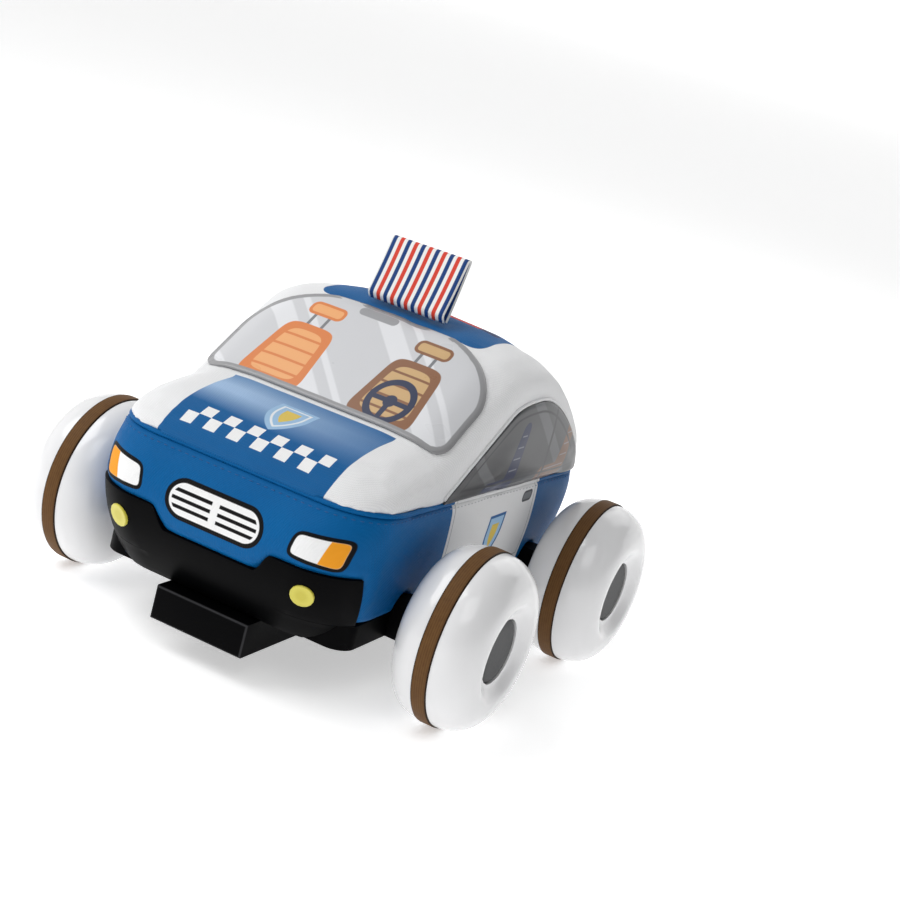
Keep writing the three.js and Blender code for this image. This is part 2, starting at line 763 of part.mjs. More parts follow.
// Front bumper: a curved plate on the nose, with a dip in the middle of its top edge
function bumperBand(grow) {
  const far = 2 * noseReach;
  const top = baseZ + bumperTopHeight + grow;
  const dip = baseZ + bumperDipHeight + grow;
  const inner = bumperDipHalf - grow / 2;
  const outer = inner + bumperDipSlope;
  const shape = new THREE.Shape();
  shape.moveTo(-far, baseZ - grow);
  shape.lineTo(far, baseZ - grow);
  shape.lineTo(far, top);
  shape.lineTo(outer, top);
  shape.lineTo(inner, dip);
  shape.lineTo(-inner, dip);
  shape.lineTo(-outer, top);
  shape.lineTo(-far, top);
  const flank = new THREE.Shape();
  flank.moveTo(-far, baseZ - grow);
  flank.lineTo(bumperDepth - noseReach + grow, baseZ - grow);
  flank.lineTo(bumperDepth - noseReach + grow, rimZ + clearance - grow);
  flank.lineTo(bumperEndRimDepth - noseReach + grow, rimZ + clearance - grow);
  flank.lineTo(bumperEndTopDepth - noseReach + grow, top);
  flank.lineTo(-far, top);
  return common(extrudedY(shape, far, 2 * far, 1), extrudedX(flank, -far, 2 * far, 1));
}

function bumperPlate(outside, inside, grow) {
  const z0 = baseZ - grow;
  const z1 = baseZ + noseHeight;
  const shell = cut(lowerSkin(z0, z1, outside), lowerSkin(z0 - 1, z1 + 1, -inside));
  return common(shell, bumperBand(grow));
}

// A lamp lies square to the nose surface at its place
function fogLamp(side, radius, back, front) {
  const z = baseZ + fogHeight;
  const halfWidth = sideX(z);
  const cornerX = halfWidth - frontCornerRadius;
  const turn = Math.asin(Math.max(fogX - cornerX, 0) / frontCornerRadius);
  const slope = 2 * noseUndercut * (noseHeight - fogHeight) / noseHeight ** 2;
  const tilt = Math.atan(slope);
  const y = noseY(z) + frontCornerRadius * (1 - Math.cos(turn));
  const normal = new THREE.Vector3(
    side * Math.sin(turn) * Math.cos(tilt),
    -Math.cos(turn) * Math.cos(tilt),
    -Math.sin(tilt),
  );
  const aim = new THREE.Quaternion().setFromUnitVectors(new THREE.Vector3(0, 1, 0), normal);
  const lens = new THREE.CylinderGeometry(radius, radius, back + front, 16);
  lens.translate(0, (front - back) / 2, 0).applyQuaternion(aim);
  return lens.translate(side * fogX, y, z);
}

function addChassis() {
  addPiece(model, "chassis_tub", tubGeometry(), finishes.black);
  const holes = [-1, 1].map((side) => fogLamp(side, fogRadius + clearance, noseReach / 10, noseReach / 10));
  addPiece(model, "front_bumper", cut(bumperPlate(0, bumperThickness, 0), ...holes), finishes.black);
  const lampBack = fogLength - fogProud;
  addPiece(model, "fog_lamp_left", fogLamp(1, fogRadius, lampBack, fogProud), finishes.lamp);
  addPiece(model, "fog_lamp_right", fogLamp(-1, fogRadius, lampBack, fogProud), finishes.lamp);
  const screwHoles = postY.flatMap((y) => [-1, 1].map((side) => {
    return roundHole(side * postX, y, screwRadius + clearance);
  }));
  const deckX = [-deckHalfWidth, deckHalfWidth];
  const deck = roundedPlate(deckX, deckY, deckCornerRadius, [deckZ, deckZ + deckThickness], screwHoles);
  addPiece(model, "inner_deck", deck, finishes.plateGrey);
  const places = ["front", "rear"];
  postY.forEach((y, end) => {
    [["left", 1], ["right", -1]].forEach(([name, side]) => {
      const head = deckZ + deckThickness + clearance;
      const screw = joined(
        rodZ(screwHeadRadius, side * postX, y, [head, head + screwHeadHeight], 12),
        rodZ(screwRadius, side * postX, y, [deckZ + deckThickness - screwLength, head + 1], 8),
      );
      addPiece(model, `deck_screw_${places[end]}_${name}`, screw, finishes.steel);
    });
  });
}

function addBattery() {
  const hole = roundHole(0, doorScrewY, doorScrewRadius + clearance);
  const plateX = [-doorHalfWidth, doorHalfWidth];
  const plateZ = [bayBottomZ, bayBottomZ + doorThickness];
  const headTop = bayBottomZ + doorScrewSink + doorScrewHeadHeight;
  const door = cut(
    roundedPlate(plateX, doorY, clearance, plateZ, [hole]),
    rodZ(doorScrewHeadRadius + clearance, 0, doorScrewY, [bayBottomZ - 1, headTop + clearance], 14),
  );
  const screw = joined(
    rodZ(doorScrewHeadRadius, 0, doorScrewY, [bayBottomZ + doorScrewSink, headTop], 14),
    rodZ(doorScrewRadius, 0, doorScrewY, [headTop - clearance, plateZ[1] + doorScrewReach], 8),
  );
  addPiece(model, "battery_door", door, finishes.black);
  addPiece(model, "battery_door_screw", screw, finishes.steel);
  [["left", 1], ["right", -1]].forEach(([name, side]) => {
    const x = side * cellPitch / 2;
    const second = cellsY0 + cellLength + clearance;
    const front = rodY(cellRadius, x, [cellsY0, cellsY0 + cellLength], cellZ, 14);
    const rear = rodY(cellRadius, x, [second, second + cellLength], cellZ, 14);
    addPiece(model, `battery_cell_front_${name}`, front, finishes.cell);
    addPiece(model, `battery_cell_rear_${name}`, rear, finishes.cell);
    const edges = [side * clearance * 2, side * contactHalf].sort((a, b) => a - b);
    const terminal = block(edges, [contactRearY, contactRearY + contactThickness], contactZ);
    addPiece(model, `battery_terminal_${name}`, terminal, finishes.steel);
  });
  const strap = block(
    [-contactHalf, contactHalf],
    [contactFrontY, contactFrontY + contactThickness],
    contactZ,
  );
  addPiece(model, "battery_contact_strap", strap, finishes.steel);
}

function addElectronics() {
  const y = [boardFrontY, boardFrontY + boardLength];
  const z = baseZ + boardHeight;
  const top = z + boardThickness;
  const middle = boardFrontY + boardLength / 2;
  const chipY = [middle - chipSize / 2, middle + chipSize / 2];
  const chip = block([-chipSize, 0], chipY, [z + boardThickness / 2, top + chipHeight]);
  const capacitor = rodZ(capacitorRadius, chipSize, middle, [z + boardThickness / 2, top + capacitorHeight], 12);
  const board = joined(block([-boardHalfWidth, boardHalfWidth], y, [z, top]), chip, capacitor);
  addPiece(model, "receiver_board", board, finishes.boardGreen);
  const half = switchKnobWidth / 2;
  const knobY = [switchY, switchY + switchKnobWidth];
  const flangeZ = [floorZ + clearance, floorZ + clearance + switchFlange];
  const knob = joined(
    block([switchX - half, switchX + half], knobY, [baseZ - switchKnobDrop, flangeZ[1]]),
    block(
      [switchX - half - switchFlange, switchX + half + switchFlange],
      [knobY[0] - switchFlange, knobY[1] + switchFlange],
      flangeZ,
    ),
  );
  addPiece(model, "power_switch_slider", knob, finishes.hubGrey);
  const room = [knobY[0] - switchFlange - clearance, knobY[1] + switchFlange + switchTravel + clearance];
  const roomHalf = half + switchFlange + clearance;
  const caseZ = [floorZ + clearance, floorZ + clearance + switchCaseHeight];
  const switchCase = cut(
    block(
      [switchX - roomHalf - switchCaseWall, switchX + roomHalf + switchCaseWall],
      [room[0] - switchCaseWall, room[1] + switchCaseWall],
      caseZ,
    ),
    block([switchX - roomHalf, switchX + roomHalf], room, [caseZ[0] - 1, caseZ[1] - switchCaseWall]),
  );
  addPiece(model, "power_switch_case", switchCase, finishes.plateGrey);
}

// Side profile of the upper body along the car's centre plane, as points (y, z)
function centreProfile() {
  const hoodTopZ = baseZ + hoodTopHeight;
  const windshieldTopZ = baseZ + windshieldTopHeight;
  const peakZ = baseZ + roofPeakHeight;
  const hoodStart = new THREE.Vector2(hoodFrontY, baseZ + beltFrontHeight + hoodLip);
  const hoodEnd = new THREE.Vector2(windshieldBottomY, hoodTopZ);
  const glassEnd = new THREE.Vector2(windshieldTopY, windshieldTopZ);
  const peak = new THREE.Vector2(roofPeakY, peakZ);
  const tail = new THREE.Vector2(tailEndY, baseZ + beltRearHeight + hoodLip);
  const hood = new THREE.QuadraticBezierCurve(
    hoodStart,
    new THREE.Vector2(hoodFrontY + hoodShoulderRun, baseZ + hoodShoulderHeight),
    hoodEnd,
  );
  const glass = new THREE.LineCurve(hoodEnd, glassEnd);
  const roof = new THREE.CubicBezierCurve(
    glassEnd,
    new THREE.Vector2(windshieldTopY + roofFrontRun, peakZ),
    new THREE.Vector2(roofPeakY - roofFrontRun, peakZ),
    peak,
  );
  const rear = new THREE.CubicBezierCurve(
    peak,
    new THREE.Vector2(roofPeakY + rearShoulderRun, peakZ - rearShoulderDrop),
    new THREE.Vector2(tailEndY - rearFlankRun, tail.y + rearFlankRise),
    tail,
  );
  const sample = (curve, steps, spacing) => {
    return Array.from({ length: steps }, (_, i) => curve.getPoint(spacing(i / steps)));
  };
  return [
    ...sample(hood, 8, (t) => t ** 1.7),
    ...sample(glass, 5, (t) => t),
    ...sample(roof, 4, (t) => t),
    ...sample(rear, 11, (t) => 1 - (1 - t) ** 1.6),
    tail,
  ];
}

const profile = centreProfile();

function centreZ(y) {
  const at = profile.findIndex((p, i) => i > 0 && p.x >= y);
  const end = Math.max(at, 1);
  const [before, after] = [profile[end - 1], profile[end]];
  return THREE.MathUtils.mapLinear(y, before.x, after.x, before.y, after.y);
}

function edgeZ(y) {
  return Math.max(beltZ(y) + hoodLip / 2, centreZ(y) - shoulderDrop);
}

// The body's half width in plan at a station y of the belt seam
function halfWidthAt(y) {
  const frontTurn = Math.max(hoodFrontY + frontCornerRadius - y, 0);
  const rearTurn = Math.max(y - tailEndY + rearCornerRadius, 0);
  const frontLoss = frontCornerRadius - Math.sqrt(Math.max(frontCornerRadius ** 2 - frontTurn ** 2, 0));
  const rearLoss = rearCornerRadius - Math.sqrt(Math.max(rearCornerRadius ** 2 - rearTurn ** 2, 0));
  return bodyHalfWidth - frontLoss - rearLoss;
}

// Height of the upper body over a point of its plan: flat across the glass, rounder over the roof
function topZ(x, y) {
  const share = Math.min(Math.abs(x) / halfWidthAt(y), 1);
  const glassMiddleY = (windshieldBottomY + windshieldTopY) / 2;
  const blend = THREE.MathUtils.smoothstep(y, glassMiddleY, roofPeakY);
  const flatness = THREE.MathUtils.lerp(cabinFlatness, roofFlatness, blend);
  const edge = edgeZ(y);
  return edge + (centreZ(y) - edge) * Math.sqrt(1 - share ** flatness);
}

function addBody() {
  const belt = (p, share) => THREE.MathUtils.lerp(rimZ + clearance, beltZ(p.y) - clearance / 2, share);
  const levels = 6;
  const rings = Array.from({ length: levels + 1 }, (_, level) => {
    const share = level / levels;
    const frontZ = belt({ y: hoodFrontY }, share);
    const rearZ = belt({ y: tailEndY }, share);
    const outline = planOutline(noseY(frontZ), tailY(rearZ), sideX((frontZ + rearZ) / 2), 0);
    return outline.map((p) => new THREE.Vector3(p.x, p.y, belt(p, share)));
  });
  const cavityTop = deckZ + deckThickness + screwHeadHeight + 2 * clearance;
  const cavity = roundedPlate(
    [-cavityHalfWidth, cavityHalfWidth],
    [deckY[0] - deckMargin, deckY[1] + deckMargin],
    deckCornerRadius,
    [baseZ, cavityTop],
  );
  const notches = ends.map(([, axleY]) => block(
    [-halfTrack, halfTrack],
    [axleY - bearingHalf - clearance, axleY + bearingHalf + clearance],
    [baseZ, axleZ + bearingHalf + clearance],
  ));
  const bumperSeat = bumperPlate(clearance + 1, bumperThickness + clearance, clearance);
  addPiece(model, "lower_body_pad", cut(loft(rings), cavity, ...notches, bumperSeat), finishes.bodyBlue);

  const columns = [-1, -0.985, -0.93, -0.8, -0.5, 0, 0.5, 0.8, 0.93, 0.985, 1];
  const row = (y, height) => columns.map((share) => {
    const x = share * halfWidthAt(y);
    return new THREE.Vector3(x, y, height(x, y));
  });
  const seam = (x, y) => beltZ(y) + clearance / 2;
  const upper = slab(
    profile.map((p) => row(p.x, topZ)),
    profile.map((p) => row(p.x, seam)),
  );
  addPiece(model, "upper_body_pad", upper, finishes.bodyWhite);
}

// Half width of the windshield panel at a station y: small bottom corners, broad top corners
function glassHalfAt(y, y0, y1) {
  const low = Math.max(y0 + glassBottomRadius - y, 0) / glassBottomRadius;
  const high = Math.max(y - y1 + glassTopRise, 0) / glassTopRise;
  const lowLoss = glassBottomRadius * (1 - Math.sqrt(1 - low ** 2));
  const highLoss = glassTopRun * (1 - Math.sqrt(1 - high ** 2));
  return glassHalfWidth - lowLoss - highLoss;
}

function addPanels() {
  const y0 = windshieldBottomY + glassMargin;
  const y1 = windshieldTopY + glassMargin / 2;
  const rows = 12;
  const columns = [-1, -0.95, -0.85, -0.5, 0, 0.5, 0.85, 0.95, 1];
  const grid = (lift) => Array.from({ length: rows + 1 }, (_, i) => {
    const share = i / rows;
    const y = THREE.MathUtils.lerp(y0, y1, share * share * (3 - 2 * share));
    const half = glassHalfAt(y, y0, y1);
    return columns.map((column) => {
      const x = column * half;
      return new THREE.Vector3(x, y, topZ(x, y) + lift);
    });
  });
  const windshield = slab(grid(2 * clearance + panelThickness), grid(2 * clearance));
  addPiece(model, "windshield_panel", windshield, finishes.glassGrey);

  const sill = (y) => beltZ(y) + sideGlassSill;
  const head = (y) => edgeZ(y) - sideGlassEdge;
  const step = 6;
  const stations = [];
  for (let y = windshieldBottomY; y < tailEndY - rearCornerRadius / 2; y += step) {
    if (head(y) - sill(y) > sideGlassSill) {
      stations.push(y);
    }
  }
  const first = stations[0];
  const last = stations.at(-1);
  const shape = new THREE.Shape();
  shape.moveTo(first - step / 2, sill(first));
  shape.lineTo(last + step / 2, sill(last));
  stations.reverse().forEach((y) => shape.lineTo(y, head(y)));
  const panel = extrudedX(shape, bodyHalfWidth + clearance, panelThickness, 1);
  addPiece(model, "side_window_left", panel, finishes.windowGrey);
  addPiece(model, "side_window_right", mirrored(panel), finishes.windowGrey);
}

// The roof ribbon: one folded strip, its two ends sewn down behind the windshield
function addRibbon() {
  const half = ribbonThickness / 2;
  const rootEnds = [ribbonRootY - half, ribbonRootY + ribbonFold + half];
  const rootZ = Math.max(...rootEnds.map(centreZ)) + clearance;
  const outside = [
    [ribbonRootY - half, rootZ],
    [ribbonRootY - ribbonCrease - half, rootZ + ribbonCrease],
    [ribbonRootY - ribbonCrease + ribbonLean, rootZ + ribbonRise],
    [ribbonRootY - ribbonCrease + ribbonLean + ribbonFold, rootZ + ribbonRise],
    [ribbonRootY + ribbonFold + half, rootZ],
  ];
  const inside = [
    [ribbonRootY + ribbonFold - half, rootZ],
    [ribbonRootY - ribbonCrease + ribbonLean + ribbonFold - half, rootZ + ribbonRise - ribbonThickness],
    [ribbonRootY - ribbonCrease + ribbonLean + half, rootZ + ribbonRise - ribbonThickness],
    [ribbonRootY - ribbonCrease + half, rootZ + ribbonCrease],
    [ribbonRootY + half, rootZ],
  ];
  const shape = new THREE.Shape([...outside, ...inside].map(([y, z]) => new THREE.Vector2(y, z)));
  addPiece(model, "roof_ribbon", extrudedX(shape, -ribbonWidth / 2, ribbonWidth, 1), finishes.ribbon);
}

addChassis();
addBattery();
addElectronics();
addDrive(1);
addDrive(-1);
addWheel("front_left", 1, frontAxleY, frontAxleInnerX);
addWheel("front_right", -1, frontAxleY, frontAxleInnerX);
addWheel("rear_left", 1, rearAxleY, rearAxleInnerX);
addWheel("rear_right", -1, rearAxleY, rearAxleInnerX);
addBody();
addPanels();
addRibbon();

export default model;
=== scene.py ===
import bisect
import math

import bmesh
import bpy
from mathutils import Matrix, Vector
from mathutils.bvhtree import BVHTree


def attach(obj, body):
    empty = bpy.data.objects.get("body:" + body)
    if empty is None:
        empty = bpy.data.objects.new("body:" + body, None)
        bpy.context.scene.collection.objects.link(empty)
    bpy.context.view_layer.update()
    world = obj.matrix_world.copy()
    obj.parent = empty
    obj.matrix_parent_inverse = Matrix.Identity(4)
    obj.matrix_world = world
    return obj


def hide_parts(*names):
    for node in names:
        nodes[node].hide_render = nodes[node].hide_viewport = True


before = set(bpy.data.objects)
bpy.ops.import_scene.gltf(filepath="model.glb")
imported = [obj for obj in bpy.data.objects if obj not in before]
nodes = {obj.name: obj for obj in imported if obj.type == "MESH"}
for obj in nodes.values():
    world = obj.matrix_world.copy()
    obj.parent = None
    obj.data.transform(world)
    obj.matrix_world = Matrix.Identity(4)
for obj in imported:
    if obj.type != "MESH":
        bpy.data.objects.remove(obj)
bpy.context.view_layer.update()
scene = bpy.context.scene
mm = 0.001
print("frame loaded,", len(nodes), "nodes")


def rgb(red, green, blue):  # screen values 0 to 255, to the linear colour that a shader takes
    def linear(v):
        v /= 255
        return v / 12.92 if v <= 0.04045 else ((v + 0.055) / 1.055) ** 2.4
    return (linear(red), linear(green), linear(blue), 1.0)


class Wire:  # one output of a node; sums on it add Math nodes
    def __init__(self, tree, socket=None):
        self.tree = tree
        self.socket = socket

    def node(self, kind, settings=None, inputs=None, out=0):
        made = self.tree.nodes.new(kind)
        for name, value in (settings or {}).items():
            setattr(made, name, value)
        for name, value in (inputs or {}).items():
            if isinstance(value, Wire):
                self.tree.links.new(value.socket, made.inputs[name])
            else:
                made.inputs[name].default_value = value
        return Wire(self.tree, made.outputs[out])

    def sum(self, operation, a, b=0.0, clamp=False):
        return self.node("ShaderNodeMath", {"operation": operation, "use_clamp": clamp}, {0: a, 1: b})

    def __add__(self, other):
        return self.sum("ADD", self, other)

    def __radd__(self, other):
        return self.sum("ADD", other, self)

    def __sub__(self, other):
        return self.sum("SUBTRACT", self, other)

    def __rsub__(self, other):
        return self.sum("SUBTRACT", other, self)

    def __mul__(self, other):
        return self.sum("MULTIPLY", self, other)

    def __rmul__(self, other):
        return self.sum("MULTIPLY", other, self)

    def __truediv__(self, other):
        return self.sum("DIVIDE", self, other)

    def __rtruediv__(self, other):
        return self.sum("DIVIDE", other, self)

    def __pow__(self, other):
        return self.sum("POWER", self, other)

    def __mod__(self, other):
        return self.sum("FLOORED_MODULO", self, other)

    def __and__(self, other):  # the greater, which is inside both shapes on distances
        return self.sum("MAXIMUM", self, other)

    def __or__(self, other):  # the lesser, which is inside either shape on distances
        return self.sum("MINIMUM", self, other)

    def __abs__(self):
        return self.sum("ABSOLUTE", self)

    def floor(self):
        return self.sum("FLOOR", self)

    def sine(self):
        return self.sum("SINE", self)

    def clamped(self):  # kept from 0 to 1
        return self.sum("ADD", self, 0.0, clamp=True)

    def parts(self, place):  # x, y and z of a vector
        apart = self.node("ShaderNodeSeparateXYZ", {}, {0: place}).socket.node
        return [Wire(self.tree, apart.outputs[i]) for i in range(3)]

    def inside(self, soft=0.25):  # 1 where a distance is below 0, over a soft edge
        return self.sum("ADD", self * (-1 / soft), 0.5, clamp=True)

    def mix(self, low, high):  # low to high colour by this mask
        inputs = {0: self, 6: low, 7: high}
        return self.node("ShaderNodeMix", {"data_type": "RGBA", "clamp_factor": True}, inputs, out=2)

    def noise(self, place, scale, detail=2.0):
        return self.node("ShaderNodeTexNoise", {}, {"Vector": place, "Scale": scale, "Detail": detail})


def makeFinish(name, paint, **fixed):
    # paint(wire, place, x, y, z) gives what varies; fixed sits on the shader's own sockets
    finish = bpy.data.materials.new(name)
    finish.use_nodes = True
    tree = finish.node_tree
    shader = tree.nodes["Principled BSDF"]
    wire = Wire(tree)
    place = wire.node("ShaderNodeTexCoord", out=3)
    x, y, z = (part * (1 / mm) for part in wire.parts(place))
    given = paint(wire, place, x, y, z)
    height = given.pop("height", None)
    for socket, value in fixed.items():
        shader.inputs[socket.replace("_", " ")].default_value = value
    for socket, value in given.items():
        if isinstance(value, Wire):
            tree.links.new(value.socket, shader.inputs[socket])
        else:
            shader.inputs[socket].default_value = value
    if height is not None:
        depth, relief = height
        bump = wire.node("ShaderNodeBump", {}, {"Strength": 0.6, "Distance": depth * mm, "Height": relief})
        tree.links.new(bump.socket, shader.inputs["Normal"])
    return finish


def roundBox(u, v, halfU, halfV, radius):  # distance to a rounded rectangle
    du = (abs(u) - (halfU - radius)) & 0.0
    dv = (abs(v) - (halfV - radius)) & 0.0
    return (du * du + dv * dv) ** 0.5 - radius


def quad(u, v, corners, ease=0.0):  # distance to a convex outline, corners clockwise, eased corners
    edge = None
    for (u0, v0), (u1, v1) in zip(corners, corners[1:] + corners[:1]):
        run, rise = u1 - u0, v1 - v0
        size = math.hypot(run, rise)
        side = u * (-rise / size) + v * (run / size) - (v0 * run - u0 * rise) / size
        if edge is None:
            edge = side
        else:
            edge = u.node("ShaderNodeMath", {"operation": "SMOOTH_MAX"}, {0: edge, 1: side, 2: ease})
    return edge


def boxAt(u, v, spec):  # a rounded rectangle from its place, half sizes and corner
    return roundBox(u - spec[0], v - spec[1], *spec[2:])


def shieldAt(u, v, spec):  # distance to a plain shield, point down, from its place and size
    middleU, middleV, size = spec
    bow = abs(u - middleU) + size
    up = v - middleV
    low = up | 0.0
    return ((bow * bow + low * low) ** 0.5 - size * 1.85) & (up - size * 0.75)


def bands(value, pitch, half, shift):  # distance to bands repeated at a pitch
    return abs((value + shift) % pitch - pitch / 2) - half


def printed(colour, shape, ink, where=None):  # lay one printed shape over what is there
    mask = shape.inside()
    if where is not None:
        mask = mask * where
    return mask.mix(colour, ink)


def weave(wire, place, pitch):  # fine plain weave, as a height from 0 to 1
    x, y, z = (part * (math.tau / (pitch * mm)) for part in wire.parts(place))
    return (x + z * 0.6).sine() * (y + z * 0.8).sine() * 0.5 + 0.5


# shared rules of the body's form, in mm
bodyRules = {
    "hoodFront": -110.5, "tailEnd": 115.0, "halfWidth": 64.5, "beltFront": 85.3, "beltRear": 77.4,
    "edgeDrop": 16.0, "frontCorner": 26.0, "rearCorner": 36.0,
    "nose": -119.0, "noseZ": 67.0, "chinDrop": 40.4, "chinIn": 17.5, "browRise": 18.3, "browIn": 8.5,
    "tuck": 4.5,
    "hood": [(-110.5, 86.7), (-96, 102), (-58.4, 103.6)],
    "glass": [(-58.4, 103.6), (-4, 138.5)],
    "roof": [(-4, 138.5), (4, 142.5), (16, 142.5), (24, 142.5)],
    "tail": [(24, 142.5), (55, 140), (90, 107.8), (115, 78.8)],
}


def lerp(a, b, share):
    return a + (b - a) * share


def curvePoint(points, share):
    while len(points) > 1:
        points = [(lerp(a[0], b[0], share), lerp(a[1], b[1], share)) for a, b in zip(points, points[1:])]
    return points[0]


centreLine = [
    curvePoint(bodyRules[part], i / 60) for part in ("hood", "glass", "roof", "tail") for i in range(60)
] + [bodyRules["tail"][-1]]
centreRun = [p[0] for p in centreLine]


def centreZ(y):
    i = min(max(bisect.bisect(centreRun, y), 1), len(centreRun) - 1)
    (y0, z0), (y1, z1) = centreLine[i - 1], centreLine[i]
    return lerp(z0, z1, (y - y0) / (y1 - y0))


def beltZ(y):
    run = bodyRules["tailEnd"] - bodyRules["hoodFront"]
    return lerp(bodyRules["beltFront"], bodyRules["beltRear"], (y - bodyRules["hoodFront"]) / run)


def edgeZ(y):
    return max(beltZ(y) + 0.7, centreZ(y) - bodyRules["edgeDrop"])


def newPiece(name, work, finish, smoothAngle=35):
    mesh = bpy.data.meshes.new(name)
    work.to_mesh(mesh)
    work.free()
    mesh.shade_smooth()
    mesh.set_sharp_from_angle(angle=math.radians(smoothAngle))
    piece = bpy.data.objects.new(name, mesh)
    scene.collection.objects.link(piece)
    piece.data.materials.append(finish)
    return piece


def mergedCopy(node):  # a frame node's mesh with its loose triangles joined
    work = bmesh.new()
    work.from_mesh(nodes[node].data)
    bmesh.ops.remove_doubles(work, verts=work.verts, dist=1e-6)
    return work


def surfaceOf(piece):  # what rays are cast at
    return BVHTree.FromObject(piece, bpy.context.evaluated_depsgraph_get())


def applyModifiers(piece):
    graph = bpy.context.evaluated_depsgraph_get()
    mesh = bpy.data.meshes.new_from_object(piece.evaluated_get(graph))
    piece.modifiers.clear()
    piece.data = mesh


# camera
cameraSettings = {"place": (0.35116, -0.74221, 0.30654), "lens": 77.6, "roll": 15.47,
                  "back": (0.37509, -0.89036, 0.25801)}
lens = bpy.data.cameras.new("camera")
lens.lens = cameraSettings["lens"]
lens.sensor_width = 36
lens.clip_start = 0.01
camera = bpy.data.objects.new("camera", lens)
scene.collection.objects.link(camera)
back = Vector(cameraSettings["back"]).normalized()
across = Vector((-back.y, back.x, 0)).normalized()
upward = back.cross(across)
roll = math.radians(cameraSettings["roll"])
right = across * math.cos(roll) + upward * math.sin(roll)
top = upward * math.cos(roll) - across * math.sin(roll)
aimed = Matrix((right, top, back)).transposed().to_4x4()
camera.matrix_world = Matrix.Translation(cameraSettings["place"]) @ aimed
scene.camera = camera
print("camera set")

# floor and light
lightSettings = {
    "sky": 0.95, "skyLevel": 0.35, "skyTurn": 0.65, "skyLeast": 0.12,
    "horizon": (0.6, 0.6, 0.61, 1), "horizonHigh": 0.1, "horizonSoft": 0.12,
    "floorHalf": 9, "wallHigh": 4, "floorGlow": 0.48, "aim": (0, 0, 0.06),
    "lamps": [("keySoftbox", 9.5, (-0.7, -0.5, 1.2), 1.0), ("fillSoftbox", 5.0, (0.7, -1.0, 1.4), 1.0),
              ("rimSoftbox", 3, (0.2, 1.1, 1.0), 0.9)],  # name, watts, then place and size in m
}
scene.view_settings.view_transform = "Standard"
work = bmesh.new()
bmesh.ops.create_grid(work, x_segments=2, y_segments=2, size=lightSettings["floorHalf"])
behind = [e for e in work.edges if all(v.co.y > lightSettings["floorHalf"] - 0.1 for v in e.verts)]
raised = bmesh.ops.extrude_edge_only(work, edges=behind)["geom"]
bmesh.ops.translate(work, vec=(0, 0, lightSettings["wallHigh"]),
                    verts=[v for v in raised if isinstance(v, bmesh.types.BMVert)])


def paintFloor(wire, place, x, y, z):
    return {"Base Color": wire.noise(place, 3.0).mix(rgb(246, 246, 246), rgb(250, 250, 250))}


floorFinish = makeFinish("paleFloor", paintFloor, Roughness=0.8, Emission_Color=(1, 1, 1, 1),
                         Emission_Strength=lightSettings["floorGlow"])
floor = newPiece("floor", work, floorFinish)
world = bpy.data.worlds.new("studio")
world.use_nodes = True
sky = Wire(world.node_tree)
toRight, toTop = sky.parts(sky.node("ShaderNodeTexCoord"))[::2]
shade = (lightSettings["skyLevel"] - toRight * lightSettings["skyTurn"]) & lightSettings["skyLeast"]
band = (toTop - lightSettings["horizonHigh"]).inside(lightSettings["horizonSoft"])
skyColour = band.mix(shade.mix((0, 0, 0, 1), (1, 1, 1, 1)), lightSettings["horizon"])
glow = world.node_tree.nodes["Background"]
world.node_tree.links.new(skyColour.socket, glow.inputs["Color"])
glow.inputs["Strength"].default_value = lightSettings["sky"]
scene.world = world
for name, power, place, size in lightSettings["lamps"]:
    lamp = bpy.data.lights.new(name, "AREA")
    lamp.energy = power
    lamp.size = size
    holder = bpy.data.objects.new(name, lamp)
    holder.location = place
    holder.rotation_euler = (Vector(lightSettings["aim"]) - Vector(place)).to_track_quat("-Z", "Y").to_euler()
    scene.collection.objects.link(holder)
print("floor and lights set")

